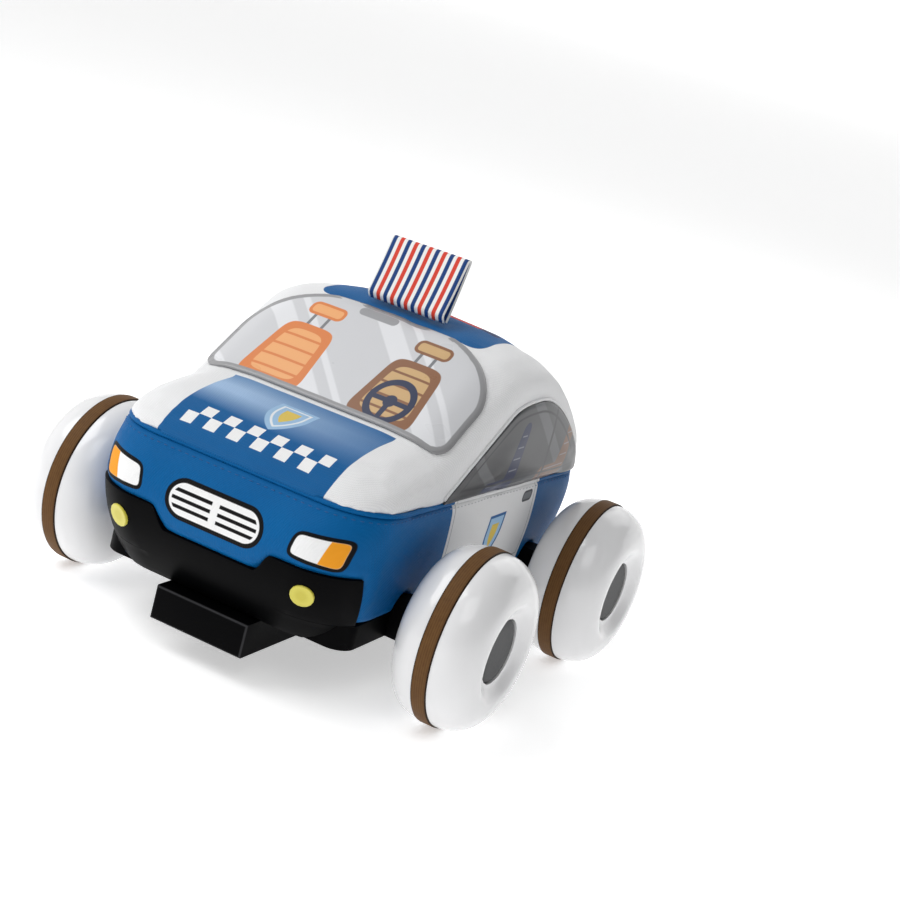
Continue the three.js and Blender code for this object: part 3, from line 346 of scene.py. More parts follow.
# printed body cloth
printSettings = {
    # the pale blue is a painted highlight on the hood, not a print colour
    "blue": rgb(4, 98, 160), "deepBlue": rgb(3, 88, 148), "highlightBlue": rgb(176, 206, 238),
    "white": rgb(236, 236, 236), "dullWhite": rgb(226, 227, 229), "black": rgb(14, 14, 15),
    "threadShade": rgb(228, 229, 231), "threadLight": rgb(250, 250, 250), "lens": rgb(246, 246, 246),
    "amber": rgb(243, 160, 40), "red": rgb(205, 45, 40), "navy": rgb(20, 45, 95), "grey": rgb(150, 152, 155),
    "shield": rgb(160, 196, 228), "shieldRim": rgb(44, 96, 156), "shieldLine": rgb(236, 240, 244),
    "gold": rgb(226, 198, 96), "handleRim": rgb(78, 80, 84), "handleGrey": rgb(118, 120, 124),
    "plateWhite": rgb(240, 240, 240), "windowRim": rgb(150, 150, 152), "paneHigh": rgb(196, 197, 200),
    "paneLow": rgb(150, 152, 156), "weavePitch": 1.1,
    # where the nose print ends, the tail print starts and the door print starts, in mm
    "noseBack": -60.0, "tailFront": 90.0, "flankIn": 52.0,
    # a shape is its place, half sizes and corner, or its corners: (y, z) on the side, (x, z) on the ends
    "door": [(-42.8, 92), (45.4, 92), (55.2, 40), (-33.2, 40)], "doorHem": 2.6,
    "handle": (38.5, 74.0, 4.6, 2.2, 1.6), "doorShield": (11.0, 62.5, 9.6),
    "headlight": [(37.2, 72.9), (56.8, 74.2), (55.2, 63.6), (35.6, 64.7)], "lampLine": 1.6,
    "amberFoot": (47.7, 65.2), "amberLean": 0.276,
    "grille": (0.0, 67.0, 22.9, 8.5, 8.4), "grilleLine": 1.9, "barPitch": 3.3, "barHalf": 0.75, "barGap": 1.7,
    "tailLamp": (44.0, 62.0, 9.0, 4.6, 3.0), "tailLine": 1.7, "reverseEnd": 40.0,
    "plate": (0.0, 56.0, 17.0, 5.5, 1.5),
    # and (x, y) on top
    "hoodHalf": 39.2, "hoodEnd": -58.4, "checks": (0.0, -98.5, 33.3, 5.4, 0.4), "checkSize": 5.6,
    "hoodShield": (0.0, -76.0, 10.5), "roofPatch": (0.0, 22.0, 41.0, 26.0, 8.0),
    "rearWindow": [(-42.0, 96.0), (42.0, 96.0), (36.0, 62.0), (-36.0, 62.0)],
    "lightBar": (0.0, 25.5, 36.0, 4.2, 2.0), "redHalf": 27.0,
}


def clothGrain(wire, place):
    cloth = weave(wire, place, printSettings["weavePitch"])
    return cloth, wire.noise(place, 45.0, 3.0)


def paintLower(wire, place, x, y, z):
    p = printSettings
    side = abs(x)
    cloth, drift = clothGrain(wire, place)
    nose = (y - p["noseBack"]).inside()
    rear = (p["tailFront"] - y).inside()
    flank = (p["flankIn"] - side).inside()
    colour = drift.mix(p["blue"], p["deepBlue"])
    door = quad(y, z, p["door"])
    colour = printed(colour, door, cloth.mix(p["dullWhite"], p["white"]), flank)
    colour = printed(colour, abs(door + p["doorHem"]) - 0.3, p["grey"], flank * 0.7)
    handle = boxAt(y, z, p["handle"])
    colour = printed(colour, handle - 0.5, p["handleRim"], flank)
    colour = printed(colour, handle + 0.5, p["handleGrey"], flank)
    shield = shieldAt(y, z, p["doorShield"])
    colour = printed(colour, shield, p["shieldRim"], flank)
    colour = printed(colour, shield + 1.4, p["shield"], flank)
    colour = printed(colour, shield + 4.6, p["gold"], flank)
    lamp = quad(side, z, p["headlight"], 3.6)
    lampRim = quad(side, z, p["headlight"], 6.5) - p["lampLine"]
    colour = printed(colour, lampRim, p["black"], nose)
    colour = printed(colour, lamp, p["lens"], nose)
    footX, footZ = p["amberFoot"]
    amber = lamp & ((z - footZ) * p["amberLean"] + footX - side)
    colour = printed(colour, amber, p["amber"], nose)
    grille = boxAt(x, z, p["grille"])
    colour = printed(colour, grille, p["black"], nose)
    colour = printed(colour, grille + p["grilleLine"], p["lens"], nose)
    bars = bands(z - p["grille"][1], p["barPitch"], p["barHalf"], p["barPitch"] / 2)
    colour = printed(colour, bars & (p["barGap"] - side) & (grille + 3.0), p["black"], nose)
    tailLamp = boxAt(side, z, p["tailLamp"])
    colour = printed(colour, tailLamp - p["tailLine"], p["black"], rear)
    colour = printed(colour, tailLamp, p["red"], rear)
    colour = printed(colour, tailLamp & (side - p["reverseEnd"]), p["lens"], rear)
    plate = boxAt(x, z, p["plate"])
    colour = printed(colour, plate - 1.0, p["black"], rear)
    colour = printed(colour, plate, p["plateWhite"], rear)
    return {"Base Color": colour, "Roughness": drift * 0.12 + 0.42, "height": (0.22, cloth)}


def paintUpper(wire, place, x, y, z):
    p = printSettings
    side = abs(x)
    cloth, drift = clothGrain(wire, place)
    colour = (cloth * 0.7 + drift * 0.3).mix(p["threadShade"], p["threadLight"])
    blue = drift.mix(p["blue"], p["deepBlue"])
    rise = ((y + 93.0 + x * 0.06) / 15.0).clamped()  # the hood's painted highlight, in from its front,
    drop = ((y + 57.0) / -13.0).clamped()  # towards the windshield
    turn = ((40.0 - x) / 66.0).clamped()  # and across it, stronger towards -x
    paintedHoodHighlight = rise * (drop * 0.6 + 0.35) * (turn * 0.7 + 0.2)
    hood = (side - p["hoodHalf"]) & (y - p["hoodEnd"])
    # the hood print in blue, mixed towards pale blue by the painted highlight
    colour = printed(colour, hood, paintedHoodHighlight.mix(blue, p["highlightBlue"]))
    odd = ((x / p["checkSize"]).floor() + ((y - p["checks"][1]) / p["checkSize"]).floor()) % 2.0
    colour = printed(colour, boxAt(x, y, p["checks"]), p["lens"], odd.sum("GREATER_THAN", odd, 0.5))
    shield = shieldAt(x, y, p["hoodShield"])
    colour = printed(colour, shield, p["shield"])
    colour = printed(colour, abs(shield + 2.6) - 0.5, p["shieldLine"])
    colour = printed(colour, shield + 5.4, p["gold"])
    colour = printed(colour, boxAt(x, y, p["roofPatch"]), blue)
    rear = quad(x, y, p["rearWindow"], 12.0)
    colour = printed(colour, rear, p["windowRim"])
    paneTop, paneFoot = p["rearWindow"][2][1], p["rearWindow"][0][1]
    pane = ((y - paneTop) / (paneFoot - paneTop)).clamped()
    colour = printed(colour, rear + 3.0, pane.mix(p["paneHigh"], p["paneLow"]))
    bar = boxAt(x, y, p["lightBar"])
    colour = printed(colour, bar, p["red"])
    colour = printed(colour, bar & (p["redHalf"] - side), p["navy"])
    return {"Base Color": colour, "Roughness": drift * 0.12 + 0.5, "height": (0.3, cloth)}


lowerFinish = makeFinish("printedLowerCloth", paintLower, Specular_IOR_Level=0.09)
upperFinish = makeFinish("printedUpperCloth", paintUpper, Sheen_Weight=0.03, Specular_IOR_Level=0.16)

# padded body, both halves stuffed by pressure
padSettings = {
    "voxel": 2.4, "ease": 3, "shrink": 0.4, "pressure": 4.0, "frames": 20, "cap": 0.8,
    # what the stuffing leaves as it is: the inner walls, behind the bumper, the hem and the belt, in mm
    "innerSide": 60.5, "innerEnd": 96, "bumperBack": -90, "bumperTop": 64, "hem": 41, "belt": 2.5,
}


def stuffed(name, node, finish, heldWhere):
    pad = newPiece(name, mergedCopy(node), finish)
    remesh = pad.modifiers.new("remesh", "REMESH")
    remesh.mode = "VOXEL"
    remesh.voxel_size = padSettings["voxel"] * mm
    ease = pad.modifiers.new("ease", "SMOOTH")
    ease.factor = 0.5
    ease.iterations = padSettings["ease"]
    applyModifiers(pad)
    start = [v.co.copy() for v in pad.data.vertices]
    held = pad.vertex_groups.new(name="held")
    held.add([v.index for v in pad.data.vertices if heldWhere(v.co / mm)], 1.0, "REPLACE")
    for v in pad.data.vertices:
        if not heldWhere(v.co / mm):
            v.co -= v.normal * padSettings["shrink"] * mm
    cloth = pad.modifiers.new("stuffing", "CLOTH")
    cloth.settings.use_pressure = True
    cloth.settings.uniform_pressure_force = padSettings["pressure"]
    cloth.settings.effector_weights.gravity = 0
    cloth.settings.vertex_group_mass = "held"
    cloth.collision_settings.use_collision = False
    for step in range(1, padSettings["frames"] + 1):
        scene.frame_set(step)
    applyModifiers(pad)
    scene.frame_set(1)
    limit = padSettings["cap"] * mm
    for v, rest in zip(pad.data.vertices, start):
        move = v.co - rest
        if move.length > limit:
            v.co = rest + move * (limit / move.length)
    pad.vertex_groups.clear()
    pad.data.materials.clear()
    pad.data.materials.append(finish)
    pad.data.shade_smooth()
    finer = pad.modifiers.new("finer", "SUBSURF")
    finer.levels = finer.render_levels = 1
    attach(pad, "chassis")
    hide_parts(node)
    print(name, "stuffed,", len(pad.data.vertices), "points")
    return pad


def lowerHeld(p):
    s = padSettings
    outer = abs(p.x) > s["innerSide"] or abs(p.y) > s["innerEnd"]
    bumper = p.y < s["bumperBack"] and p.z < s["bumperTop"]
    return not outer or bumper or p.z < s["hem"] or p.z > beltZ(p.y) - s["belt"]


def upperHeld(p):
    return p.z < beltZ(p.y) + padSettings["belt"]


lowerPad = stuffed("lowerBody", "lower_body_pad", lowerFinish, lowerHeld)
upperPad = stuffed("upperBody", "upper_body_pad", upperFinish, upperHeld)

# rolled seam and stitches where the two halves are sewn together
seamSettings = {"roll": 1.1, "inset": 1.3, "raise": 0.35, "step": 4.0, "cornerSteps": 10, "below": 2.3,
                "stitchPitch": 3.4, "stitchLength": 2.1, "stitchRadius": 0.26,
                "onDoor": rgb(196, 197, 200), "shade": rgb(10, 66, 122), "light": rgb(20, 92, 154)}


def seamOutline(steps):  # points and outward directions round the belt, in mm
    r = bodyRules
    points = []
    for sign, end, corner in ((-1, r["hoodFront"], r["frontCorner"]), (1, r["tailEnd"], r["rearCorner"])):
        for hand in ((-1, 1) if sign < 0 else (1, -1)):
            middle = Vector((hand * (r["halfWidth"] - corner), end - sign * corner, 0))
            turns = [i / steps for i in range(steps + 1)]
            for share in (turns if hand * sign < 0 else turns[::-1]):
                angle = math.pi / 2 * share
                way = Vector((hand * math.sin(angle), sign * math.cos(angle), 0))
                points.append((middle + way * corner, way))
    return points


def evenly(points, pitch):  # walk the closed outline at an even pitch
    spots, left = [], 0.0
    for (a, wayA), (b, wayB) in zip(points, points[1:] + points[:1]):
        span = (b - a).length
        while left < span:
            share = left / span
            spots.append((a.lerp(b, share), wayA.lerp(wayB, share).normalized(), (b - a).normalized()))
            left += pitch
        left -= span
    return spots


def roundRoll(name, points, radius, closed, finish):  # cloth rolled along points, in mm
    path = bpy.data.curves.new(name, "CURVE")
    path.dimensions = "3D"
    path.bevel_depth = radius * mm
    path.bevel_resolution = 2
    path.use_fill_caps = True
    strand = path.splines.new("POLY")
    strand.points.add(len(points) - 1)
    for point, place in zip(strand.points, points):
        point.co = (place.x * mm, place.y * mm, place.z * mm, 1)
    strand.use_cyclic_u = closed
    draft = bpy.data.objects.new(name + "Path", path)
    scene.collection.objects.link(draft)
    rolled = bpy.data.meshes.new_from_object(draft.evaluated_get(bpy.context.evaluated_depsgraph_get()))
    bpy.data.objects.remove(draft)
    rolled.materials.clear()
    rolled.materials.append(finish)
    rolled.shade_smooth()
    piece = bpy.data.objects.new(name, rolled)
    scene.collection.objects.link(piece)
    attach(piece, "chassis")


outline = seamOutline(seamSettings["cornerSteps"])
seamLine = []
for spot, way, along in evenly(outline, seamSettings["step"]):
    place = spot - way * seamSettings["inset"]
    seamLine.append(Vector((place.x, place.y, beltZ(place.y) + seamSettings["raise"])))
roundRoll("seamRoll", seamLine, seamSettings["roll"], True, lowerFinish)
skirt = surfaceOf(lowerPad)


def paintThread(wire, place, x, y, z):
    s = seamSettings
    doorFront, doorBack = (corner[0] for corner in printSettings["door"][:2])
    alongDoor = (abs(y - (doorFront + doorBack) / 2) - (doorBack - doorFront) / 2).inside()
    blue = wire.noise(place, 900.0).mix(s["shade"], s["light"])
    onDoor = alongDoor * (60.0 - abs(x)).inside()
    return {"Base Color": onDoor.mix(blue, s["onDoor"]), "Roughness": 0.6}


threadFinish = makeFinish("seamThread", paintThread)
work = bmesh.new()
for spot, way, along in evenly(outline, seamSettings["stitchPitch"]):
    low = beltZ(spot.y) - seamSettings["below"]
    hit = skirt.ray_cast((spot + way * 20 + Vector((0, 0, low))) * mm, -way)
    if hit[0] is None:
        continue
    turn = Matrix((along, way, along.cross(way))).transposed().to_4x4()
    thin = seamSettings["stitchRadius"]
    size = Matrix.Diagonal((seamSettings["stitchLength"] / 2, thin, thin, 1))
    lay = Matrix.Translation(hit[0]) @ Matrix.Scale(mm, 4) @ turn @ size
    bmesh.ops.create_icosphere(work, subdivisions=1, radius=1.0, matrix=lay)
bmesh.ops.recalc_face_normals(work, faces=work.faces)
stitches = newPiece("beltStitches", work, threadFinish, 180)
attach(stitches, "chassis")
print("seam rolled and stitched")

# sewn window panels, laid on the stuffed cabin
panelSettings = {
    "lift": 0.35, "thick": 0.7, "front": -56.4, "rear": -3.0, "half": 58.6, "bottomCorner": 9.5,
    "topRun": 44.0, "topRise": 26.0, "sideTopDrop": 6.0, "sill": 1.5, "leastHigh": 0.6,
    "columns": 60, "rows": 36, "sideColumns": 72, "sideRows": 18, "piping": 0.75, "pipingGap": 0.9,
    "border": rgb(150, 150, 152), "borderWide": 3.0,
    # glass colour and the colour of its painted reflection streaks
    "glass": rgb(208, 209, 212), "reflectionStreak": rgb(228, 229, 232),
    # printed seats behind the windshield: middle x and y, cover and quilting
    "seats": [(-27.0, -40.0, rgb(222, 128, 62), rgb(240, 172, 110)),
              (26.0, -39.0, rgb(140, 96, 66), rgb(206, 170, 120))],
    "seatBack": [(-11.5, 15.5), (11.5, 15.5), (15.5, -17.0), (-15.5, -17.0)], "seatPosts": rgb(122, 124, 128),
    "headrestY": -15.2, "steering": (26.0, -45.0, 9.0), "steeringBlue": rgb(38, 48, 78),
    "mirror": (-6.0, -8.6, 9.5, 2.3, 2.2), "mirrorGrey": rgb(156, 157, 160),
    # and behind the side windows: foot of the back and cover
    "sideSeats": [(4.0, rgb(34, 44, 76)), (60.0, rgb(116, 80, 54))], "cushionZ": 84.0, "backZ": 97.0,
    # the side streak colour is a painted reflection on the glass
    "sideGlass": rgb(92, 93, 95), "sideDark": rgb(62, 63, 65), "sideReflectionStreak": rgb(150, 152, 156),
    "seatSeam": rgb(150, 152, 158), "doorPostY": 42.0, "doorPost": rgb(58, 59, 62),
    "hemLine": rgb(52, 53, 56),
}


def windshieldHalf(y):
    s = panelSettings
    if y < s["front"] + s["bottomCorner"]:
        up = s["bottomCorner"] - (y - s["front"])
        return s["half"] - s["bottomCorner"] + math.sqrt(max(s["bottomCorner"] ** 2 - up * up, 0))
    over = (y - (s["rear"] - s["topRise"])) / s["topRise"]
    if over > 0:
        return s["half"] - s["topRun"] + s["topRun"] * math.sqrt(max(1 - over * over, 0))
    return s["half"]


def sewnPanel(name, node, finish, columns, rows, placeAt, cast):
    # placeAt(u, w) gives a point in mm off the cabin; cast is the way in to it
    work = bmesh.new()
    bmesh.ops.create_grid(work, x_segments=columns, y_segments=rows, size=0.5)
    layer = work.verts.layers.float.new("rim")
    for v in work.verts:
        spot = Vector(placeAt(v.co.x + 0.5, v.co.y + 0.5)) * mm
        hit = cabin.ray_cast(spot, cast)
        v.co = hit[0] + hit[1] * panelSettings["lift"] * mm if hit[0] else spot
    rim = [v for v in work.verts if v.is_boundary]
    for v in work.verts:
        v[layer] = min((v.co - e.co).length for e in rim) / mm
    bmesh.ops.remove_doubles(work, verts=work.verts, dist=2e-5)
    bmesh.ops.recalc_face_normals(work, faces=work.faces)
    aim = sum((f.normal for f in work.faces), Vector())
    if aim.dot(cast) > 0:
        bmesh.ops.reverse_faces(work, faces=work.faces)
    area = sum(f.calc_area() for f in work.faces)
    wide, deep, high = (max(v.co[i] for v in work.verts) - min(v.co[i] for v in work.verts) for i in range(3))
    piece = newPiece(name, work, finish, 60)
    thick = piece.modifiers.new("thick", "SOLIDIFY")
    thick.thickness = panelSettings["thick"] * mm
    thick.offset = 1
    cutSize = (wide, math.hypot(deep, high)) if cast.z else (deep, high)
    print(name, "cut", [round(v / mm, 1) for v in cutSize], "mm, area", round(area * 1e4, 1), "cm2")
    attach(piece, "chassis")
    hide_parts(node)


def paintWindshield(wire, place, x, y, z):
    s = panelSettings
    rim = wire.node("ShaderNodeAttribute", {"attribute_name": "rim"}, out=2)
    # painted reflection streaks across the windshield glass
    lean = x * 0.8 + y * 0.9
    reflectionStreak = (bands(lean, 46.0, 5.0, 400.0) | bands(lean, 46.0, 1.6, 388.0)).inside(0.8)
    colour = reflectionStreak.mix(s["glass"], s["reflectionStreak"])
    for middle, foot, cover, quilting in s["seats"]:
        posts = (abs(abs(x - middle) - 3.4) - 0.7) & (abs(y + 20.0) - 6.0)
        colour = printed(colour, posts, s["seatPosts"])
        back = quad(x - middle, y - foot, s["seatBack"], 9.0)
        headrest = roundBox(x - middle, y - s["headrestY"], 8.6, 3.6, 3.0)
        colour = printed(colour, back | headrest, cover)
        quilt = (back + 3.4) & bands(y - foot, 6.2, 2.5, 60.0)
        colour = printed(colour, quilt | (headrest + 1.4), quilting)
    wheelX, wheelY, wheelRadius = s["steering"]
    u, v = x - wheelX, y - wheelY
    radius = (u * u + v * v * 0.8) ** 0.5
    spokes = ((abs(v) - 1.2) | ((abs(u) - 1.2) & v)) & (radius - wheelRadius)
    wheel = (abs(radius - wheelRadius) - 1.4) | spokes | (radius - 2.8)
    colour = printed(colour, wheel, s["steeringBlue"])
    colour = printed(colour, boxAt(x, y, s["mirror"]), s["mirrorGrey"])
    colour = (rim - s["borderWide"]).inside(0.4).mix(colour, s["border"])
    return {"Base Color": colour, "Roughness": wire.noise(place, 60.0) * 0.1 + 0.24}


def paintSideWindow(wire, place, x, y, z):
    s = panelSettings
    rim = wire.node("ShaderNodeAttribute", {"attribute_name": "rim"}, out=2)
    up = z - s["cushionZ"]
    colour = (up / 50.0).clamped().mix(s["sideDark"], s["sideGlass"])
    # faint painted reflection streaks across the side window
    reflectionStreak = bands(y * 0.8 + z, 58.0, 4.0, 300.0).inside(1.0)
    colour = (reflectionStreak * 0.25).mix(colour, s["sideReflectionStreak"])
    for start, cover in s["sideSeats"]:
        over = z - s["backZ"]
        back = roundBox(y - start - up * 0.28, over, 5.0 - over * 0.12, 15.5, 3.2)
        seat = back | roundBox(y - start + 9.0, up, 14.0, 4.4, 3.6)
        colour = printed(colour, seat, cover)
        seams = (seat + 1.6) & bands(up, 5.0, 0.3, 60.0)
        colour = (seams.inside() * 0.6).mix(colour, s["seatSeam"])
    colour = printed(colour, abs(y - s["doorPostY"]) - 1.1, s["doorPost"])
    colour = (abs(rim - 4.4) - 0.5).inside(0.4).mix(colour, s["hemLine"])
    return {"Base Color": colour, "Roughness": wire.noise(place, 60.0) * 0.1 + 0.26}


cabin = surfaceOf(upperPad)
windshieldFinish = makeFinish("windshieldPrint", paintWindshield, Coat_Weight=0.25, Coat_Roughness=0.12)
sideWindowFinish = makeFinish("sideWindowPrint", paintSideWindow, Coat_Weight=0.06, Coat_Roughness=0.15,
                              Specular_IOR_Level=0.2)


def windshieldPlace(u, w):
    y = lerp(panelSettings["front"], panelSettings["rear"], w)
    return (lerp(-1, 1, u) * windshieldHalf(y), y, 190)


sewnPanel("windshield", "windshield_panel", windshieldFinish, panelSettings["columns"], panelSettings["rows"],
          windshieldPlace, Vector((0, 0, -1)))


def sideTop(y):
    return edgeZ(y) - panelSettings["sideTopDrop"]


def sideSill(y):
    return beltZ(y) + panelSettings["sill"]


def sideRun():  # where the side window is open, in mm along the car
    ys = [y / 4 for y in range(-400, 460)]
    clear = [y for y in ys if sideTop(y) > sideSill(y) + panelSettings["leastHigh"]]
    return clear[0], clear[-1]


sideFrom, sideTo = sideRun()


def sidePlace(side):
    def place(u, w):
        y = lerp(sideFrom, sideTo, 0.5 - 0.5 * math.cos(math.pi * u))
        return (side * 90, y, lerp(sideSill(y), sideTop(y), w))
    return place


for side, hand in ((1, "left"), (-1, "right")):
    columns, inward = panelSettings["sideColumns"], Vector((-side, 0, 0))
    sewnPanel("sideWindow" + hand.title(), "side_window_" + hand, sideWindowFinish, columns,
              panelSettings["sideRows"], sidePlace(side), inward)
    arch = []
    for i in range(columns + 1):
        edge = Vector(sidePlace(side)(i / columns, 1.0)) + Vector((0, 0, panelSettings["pipingGap"]))
        hit = cabin.ray_cast(edge * mm, inward)
        arch.append(hit[0] / mm + hit[1] * panelSettings["piping"] * 0.4)
    roundRoll("archPiping" + hand.title(), arch, panelSettings["piping"], False, upperFinish)
print("window panels sewn on")

# balloon wheels
wheelSettings = {
    "radius": 38.0, "shoulder": 37.4, "treadHalf": 3.5, "treadGap": 0.3, "wide": 19.0, "wideRadius": 22.0,
    "lipRadius": 14.0, "lip": 15.2, "floor": 11.0, "bore": 3.25, "boss": 7.0, "bossEnd": 24.6,
    "capRadius": 13.75, "capFace": 15.0, "capGap": 0.3, "steps": 96, "wallSteps": 14, "dipSteps": 8,
    "mid": 91.2, "axleZ": 38.0, "frontY": -57.3, "rearY": 67.3,
}


def paintGlossWhite(wire, place, x, y, z):
    drift = wire.noise(place, 30.0, 3.0)
    return {"Base Color": drift.mix(rgb(230, 230, 231), rgb(238, 238, 239)), "Roughness": drift * 0.08 + 0.16}


def paintBrown(wire, place, x, y, z):
    grain = wire.noise(place, 420.0, 4.0)
    out = abs(x) - wheelSettings["mid"]
    # fine lighter stripes round the band: its ribs, with a painted highlight along each
    rib = abs((out + 50.0) % 1.0 - 0.5) * 2.0
    colour = (grain * 0.6 + rib * 0.4).mix(rgb(82, 54, 28), rgb(116, 84, 50))
    colour = (wheelSettings["treadHalf"] - 0.55 - abs(out)).inside().mix(colour, rgb(44, 30, 18))
    return {"Base Color": colour, "Roughness": grain * 0.2 + 0.5, "height": (0.15, grain)}


def paintHub(wire, place, x, y, z):
    grain = wire.noise(place, 700.0, 3.0)
    return {"Base Color": grain.mix(rgb(52, 53, 54), rgb(62, 63, 64)), "Roughness": grain * 0.15 + 0.42,
            "height": (0.05, grain)}


glossWhite = makeFinish("glossWhiteWheel", paintGlossWhite, Coat_Weight=0.5, Coat_Roughness=0.05)
brownBand = makeFinish("brownTreadBand", paintBrown, Specular_IOR_Level=0.12)
hubGrey = makeFinish("greyHubCap", paintHub, Specular_IOR_Level=0.3)


def spun(name, profile, side, y, finish, smoothAngle):
    # profile is (radius, outward) points in mm, closed round the ring unless it starts on the axle
    work = bmesh.new()
    axle = Vector((0, y, wheelSettings["axleZ"]))
    mid = wheelSettings["mid"]
    points = [work.verts.new(axle + Vector((side * (mid + out), 0, r))) for r, out in profile]
    ringed = profile[0][0] > 0
    pairs = zip(points, points[1:] + points[:1]) if ringed else zip(points, points[1:])
    edges = [work.edges.new(pair) for pair in pairs]
    bmesh.ops.spin(work, geom=points + edges, cent=axle, axis=(1, 0, 0), angle=math.tau,
                   steps=wheelSettings["steps"], use_merge=True)
    bmesh.ops.remove_doubles(work, verts=work.verts, dist=0.001)
    bmesh.ops.recalc_face_normals(work, faces=work.faces)
    bmesh.ops.scale(work, vec=(mm, mm, mm), verts=work.verts)
    return newPiece(name, work, finish, smoothAngle)


def sidewallPoints(sign):
    s = wheelSettings
    points = []
    start = s["treadHalf"] + s["treadGap"]
    for i in range(s["wallSteps"] + 1):
        turn = math.pi / 2 * i / s["wallSteps"]
        points.append((s["wideRadius"] + (s["shoulder"] - s["wideRadius"]) * math.cos(turn),
                       sign * (start + (s["wide"] - start) * math.sin(turn))))
    return points


def dipPoints():
    s = wheelSettings
    points = []
    for i in range(1, s["dipSteps"] + 1):
        share = i / s["dipSteps"]
        points.append((lerp(s["wideRadius"], s["lipRadius"], share),
                       lerp(s["wide"], s["lip"], share * share * (3 - 2 * share))))
    return points


def addWheel(end, hand, side, y):
    s = wheelSettings
    place = end + hand.title()
    outer = sidewallPoints(1) + dipPoints() + [(s["lipRadius"], s["floor"]), (s["bore"], s["floor"])]
    inner = sidewallPoints(-1) + [(s["lipRadius"], -s["wide"]), (s["boss"] + 2, -s["wide"] + 0.4),
                                  (s["boss"], -s["wide"] - 1), (s["boss"], -s["bossEnd"]),
                                  (s["bore"], -s["bossEnd"])]
    shell = spun(place + "Shell", inner[::-1] + outer, side, y, glossWhite, 40)
    rounding = [(s["shoulder"] - 1.0, 0.0), (s["radius"] - 0.5, 0.0), (s["radius"] - 0.1, 0.35),
                (s["radius"], 0.9)]
    band = [(r, inset - s["treadHalf"]) for r, inset in rounding]
    band += [(r, s["treadHalf"] - inset) for r, inset in rounding[::-1]]
    tread = spun(place + "Band", band, side, y, brownBand, 50)
    face, back = s["capFace"], s["floor"] + s["capGap"]
    cap = [(0.0, face - 0.2), (9.0, face), (12.6, face - 0.1), (13.3, face - 0.5),
           (s["capRadius"], face - 1.2), (s["capRadius"], back), (0.0, back)]
    hub = spun(place + "Hub", cap, side, y, hubGrey, 50)
    corner = end + "_" + hand
    for piece, names, slotName in (
        (shell, ("wheel_outer_shell", "wheel_inner_shell"), "wheel_white"),
        (tread, ("tread_band",), "tread_brown"), (hub, ("hub_cap",), "hub_grey"),
    ):
        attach(piece, corner + "_wheel")
        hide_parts(*(corner + "_" + n for n in names))


for end in ("front", "rear"):
    for hand, side in (("left", 1), ("right", -1)):
        addWheel(end, hand, side, wheelSettings[end + "Y"])
print("wheels spun")

# roof ribbon, one folded strip
ribbonSettings = {"width": 38.0, "root": 3.0, "rootZ": 142.0, "crease": 3.0, "lean": 11.5, "rise": 27.6,
                  "fold": 2.6, "thick": 0.45, "step": 1.2, "cuts": 18, "ease": 3, "twist": 0.7, "belly": 0.5,
                  "stripes": 11, "navy": rgb(6, 58, 122), "red": rgb(216, 62, 42),
                  "white": rgb(240, 240, 238)}


def paintRibbon(wire, place, x, y, z):
    s = ribbonSettings
    pitch = s["width"] / s["stripes"]
    column = (x + s["width"] / 2) / pitch
    index = column.floor()
    share = column - index
    stripe = (abs(share - 0.5) - 0.27).inside(0.06)
    colour = stripe.mix(s["white"], (index % 2.0).mix(s["navy"], s["red"]))
    rib = ((z + y * 0.4) * 9.0).sine() * 0.5 + 0.5
    return {"Base Color": colour, "Roughness": rib * 0.1 + 0.5, "height": (0.12, rib)}


def ribbonLine():
    s = ribbonSettings
    front = s["root"] - s["crease"]
    top = s["rootZ"] + s["rise"]
    corners = [(s["root"], s["rootZ"]), (front, s["rootZ"] + s["crease"]), (front + s["lean"], top),
               (front + s["lean"] + s["fold"], top), (s["root"] + s["fold"], s["rootZ"])]
    line = []
    for (y0, z0), (y1, z1) in zip(corners, corners[1:]):
        steps = max(2, int(math.hypot(y1 - y0, z1 - z0) / s["step"]))
        line += [(lerp(y0, y1, i / steps), lerp(z0, z1, i / steps)) for i in range(steps)]
    return line + [corners[-1]]


line = ribbonLine()
work = bmesh.new()
half = ribbonSettings["width"] / 2
chain = [work.verts.new((-half * mm, y * mm, z * mm)) for y, z in line]
edges = [work.edges.new(pair) for pair in zip(chain, chain[1:])]
grown = bmesh.ops.extrude_edge_only(work, edges=edges)
moved = [g for g in grown["geom"] if isinstance(g, bmesh.types.BMVert)]
bmesh.ops.translate(work, vec=(2 * half * mm, 0, 0), verts=moved)
lengthwise = [e for e in work.edges if abs(e.verts[0].co.x - e.verts[1].co.x) > half * mm]
bmesh.ops.subdivide_edges(work, edges=lengthwise, cuts=ribbonSettings["cuts"], use_grid_fill=True)
for step in range(ribbonSettings["ease"]):  # ease the folds, keeping the sewn root
    free = [v for v in work.verts if v.co.z > (ribbonSettings["rootZ"] + 1) * mm]
    bmesh.ops.smooth_vert(work, verts=free, factor=0.5, use_axis_y=True, use_axis_z=True)
for v in work.verts:  # a slight twist and belly, as cloth has
    high = max(v.co.z / mm - ribbonSettings["rootZ"], 0) / ribbonSettings["rise"]
    twist = ribbonSettings["twist"] * high * math.sin(v.co.x / mm / 11.0)
    v.co.y += mm * (twist + ribbonSettings["belly"] * math.sin(high * math.pi))
bmesh.ops.recalc_face_normals(work, faces=work.faces)
ribbonFinish = makeFinish("stripedRibbon", paintRibbon, Sheen_Weight=0.04, Specular_IOR_Level=0.25)
ribbon = newPiece("roofRibbon", work, ribbonFinish, 80)
thick = ribbon.modifiers.new("thick", "SOLIDIFY")
thick.thickness = ribbonSettings["thick"] * mm
thick.offset = 0
ribbonLength = sum(math.hypot(b[0] - a[0], b[1] - a[1]) for a, b in zip(line, line[1:]))
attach(ribbon, "chassis")
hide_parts("roof_ribbon")
ribbonSettings["width"] * mm
ribbonLength * mm
print("ribbon folded,", round(ribbonLength, 1), "mm long")

# moulded plastic, metal and electrical finishes on the frame's own nodes


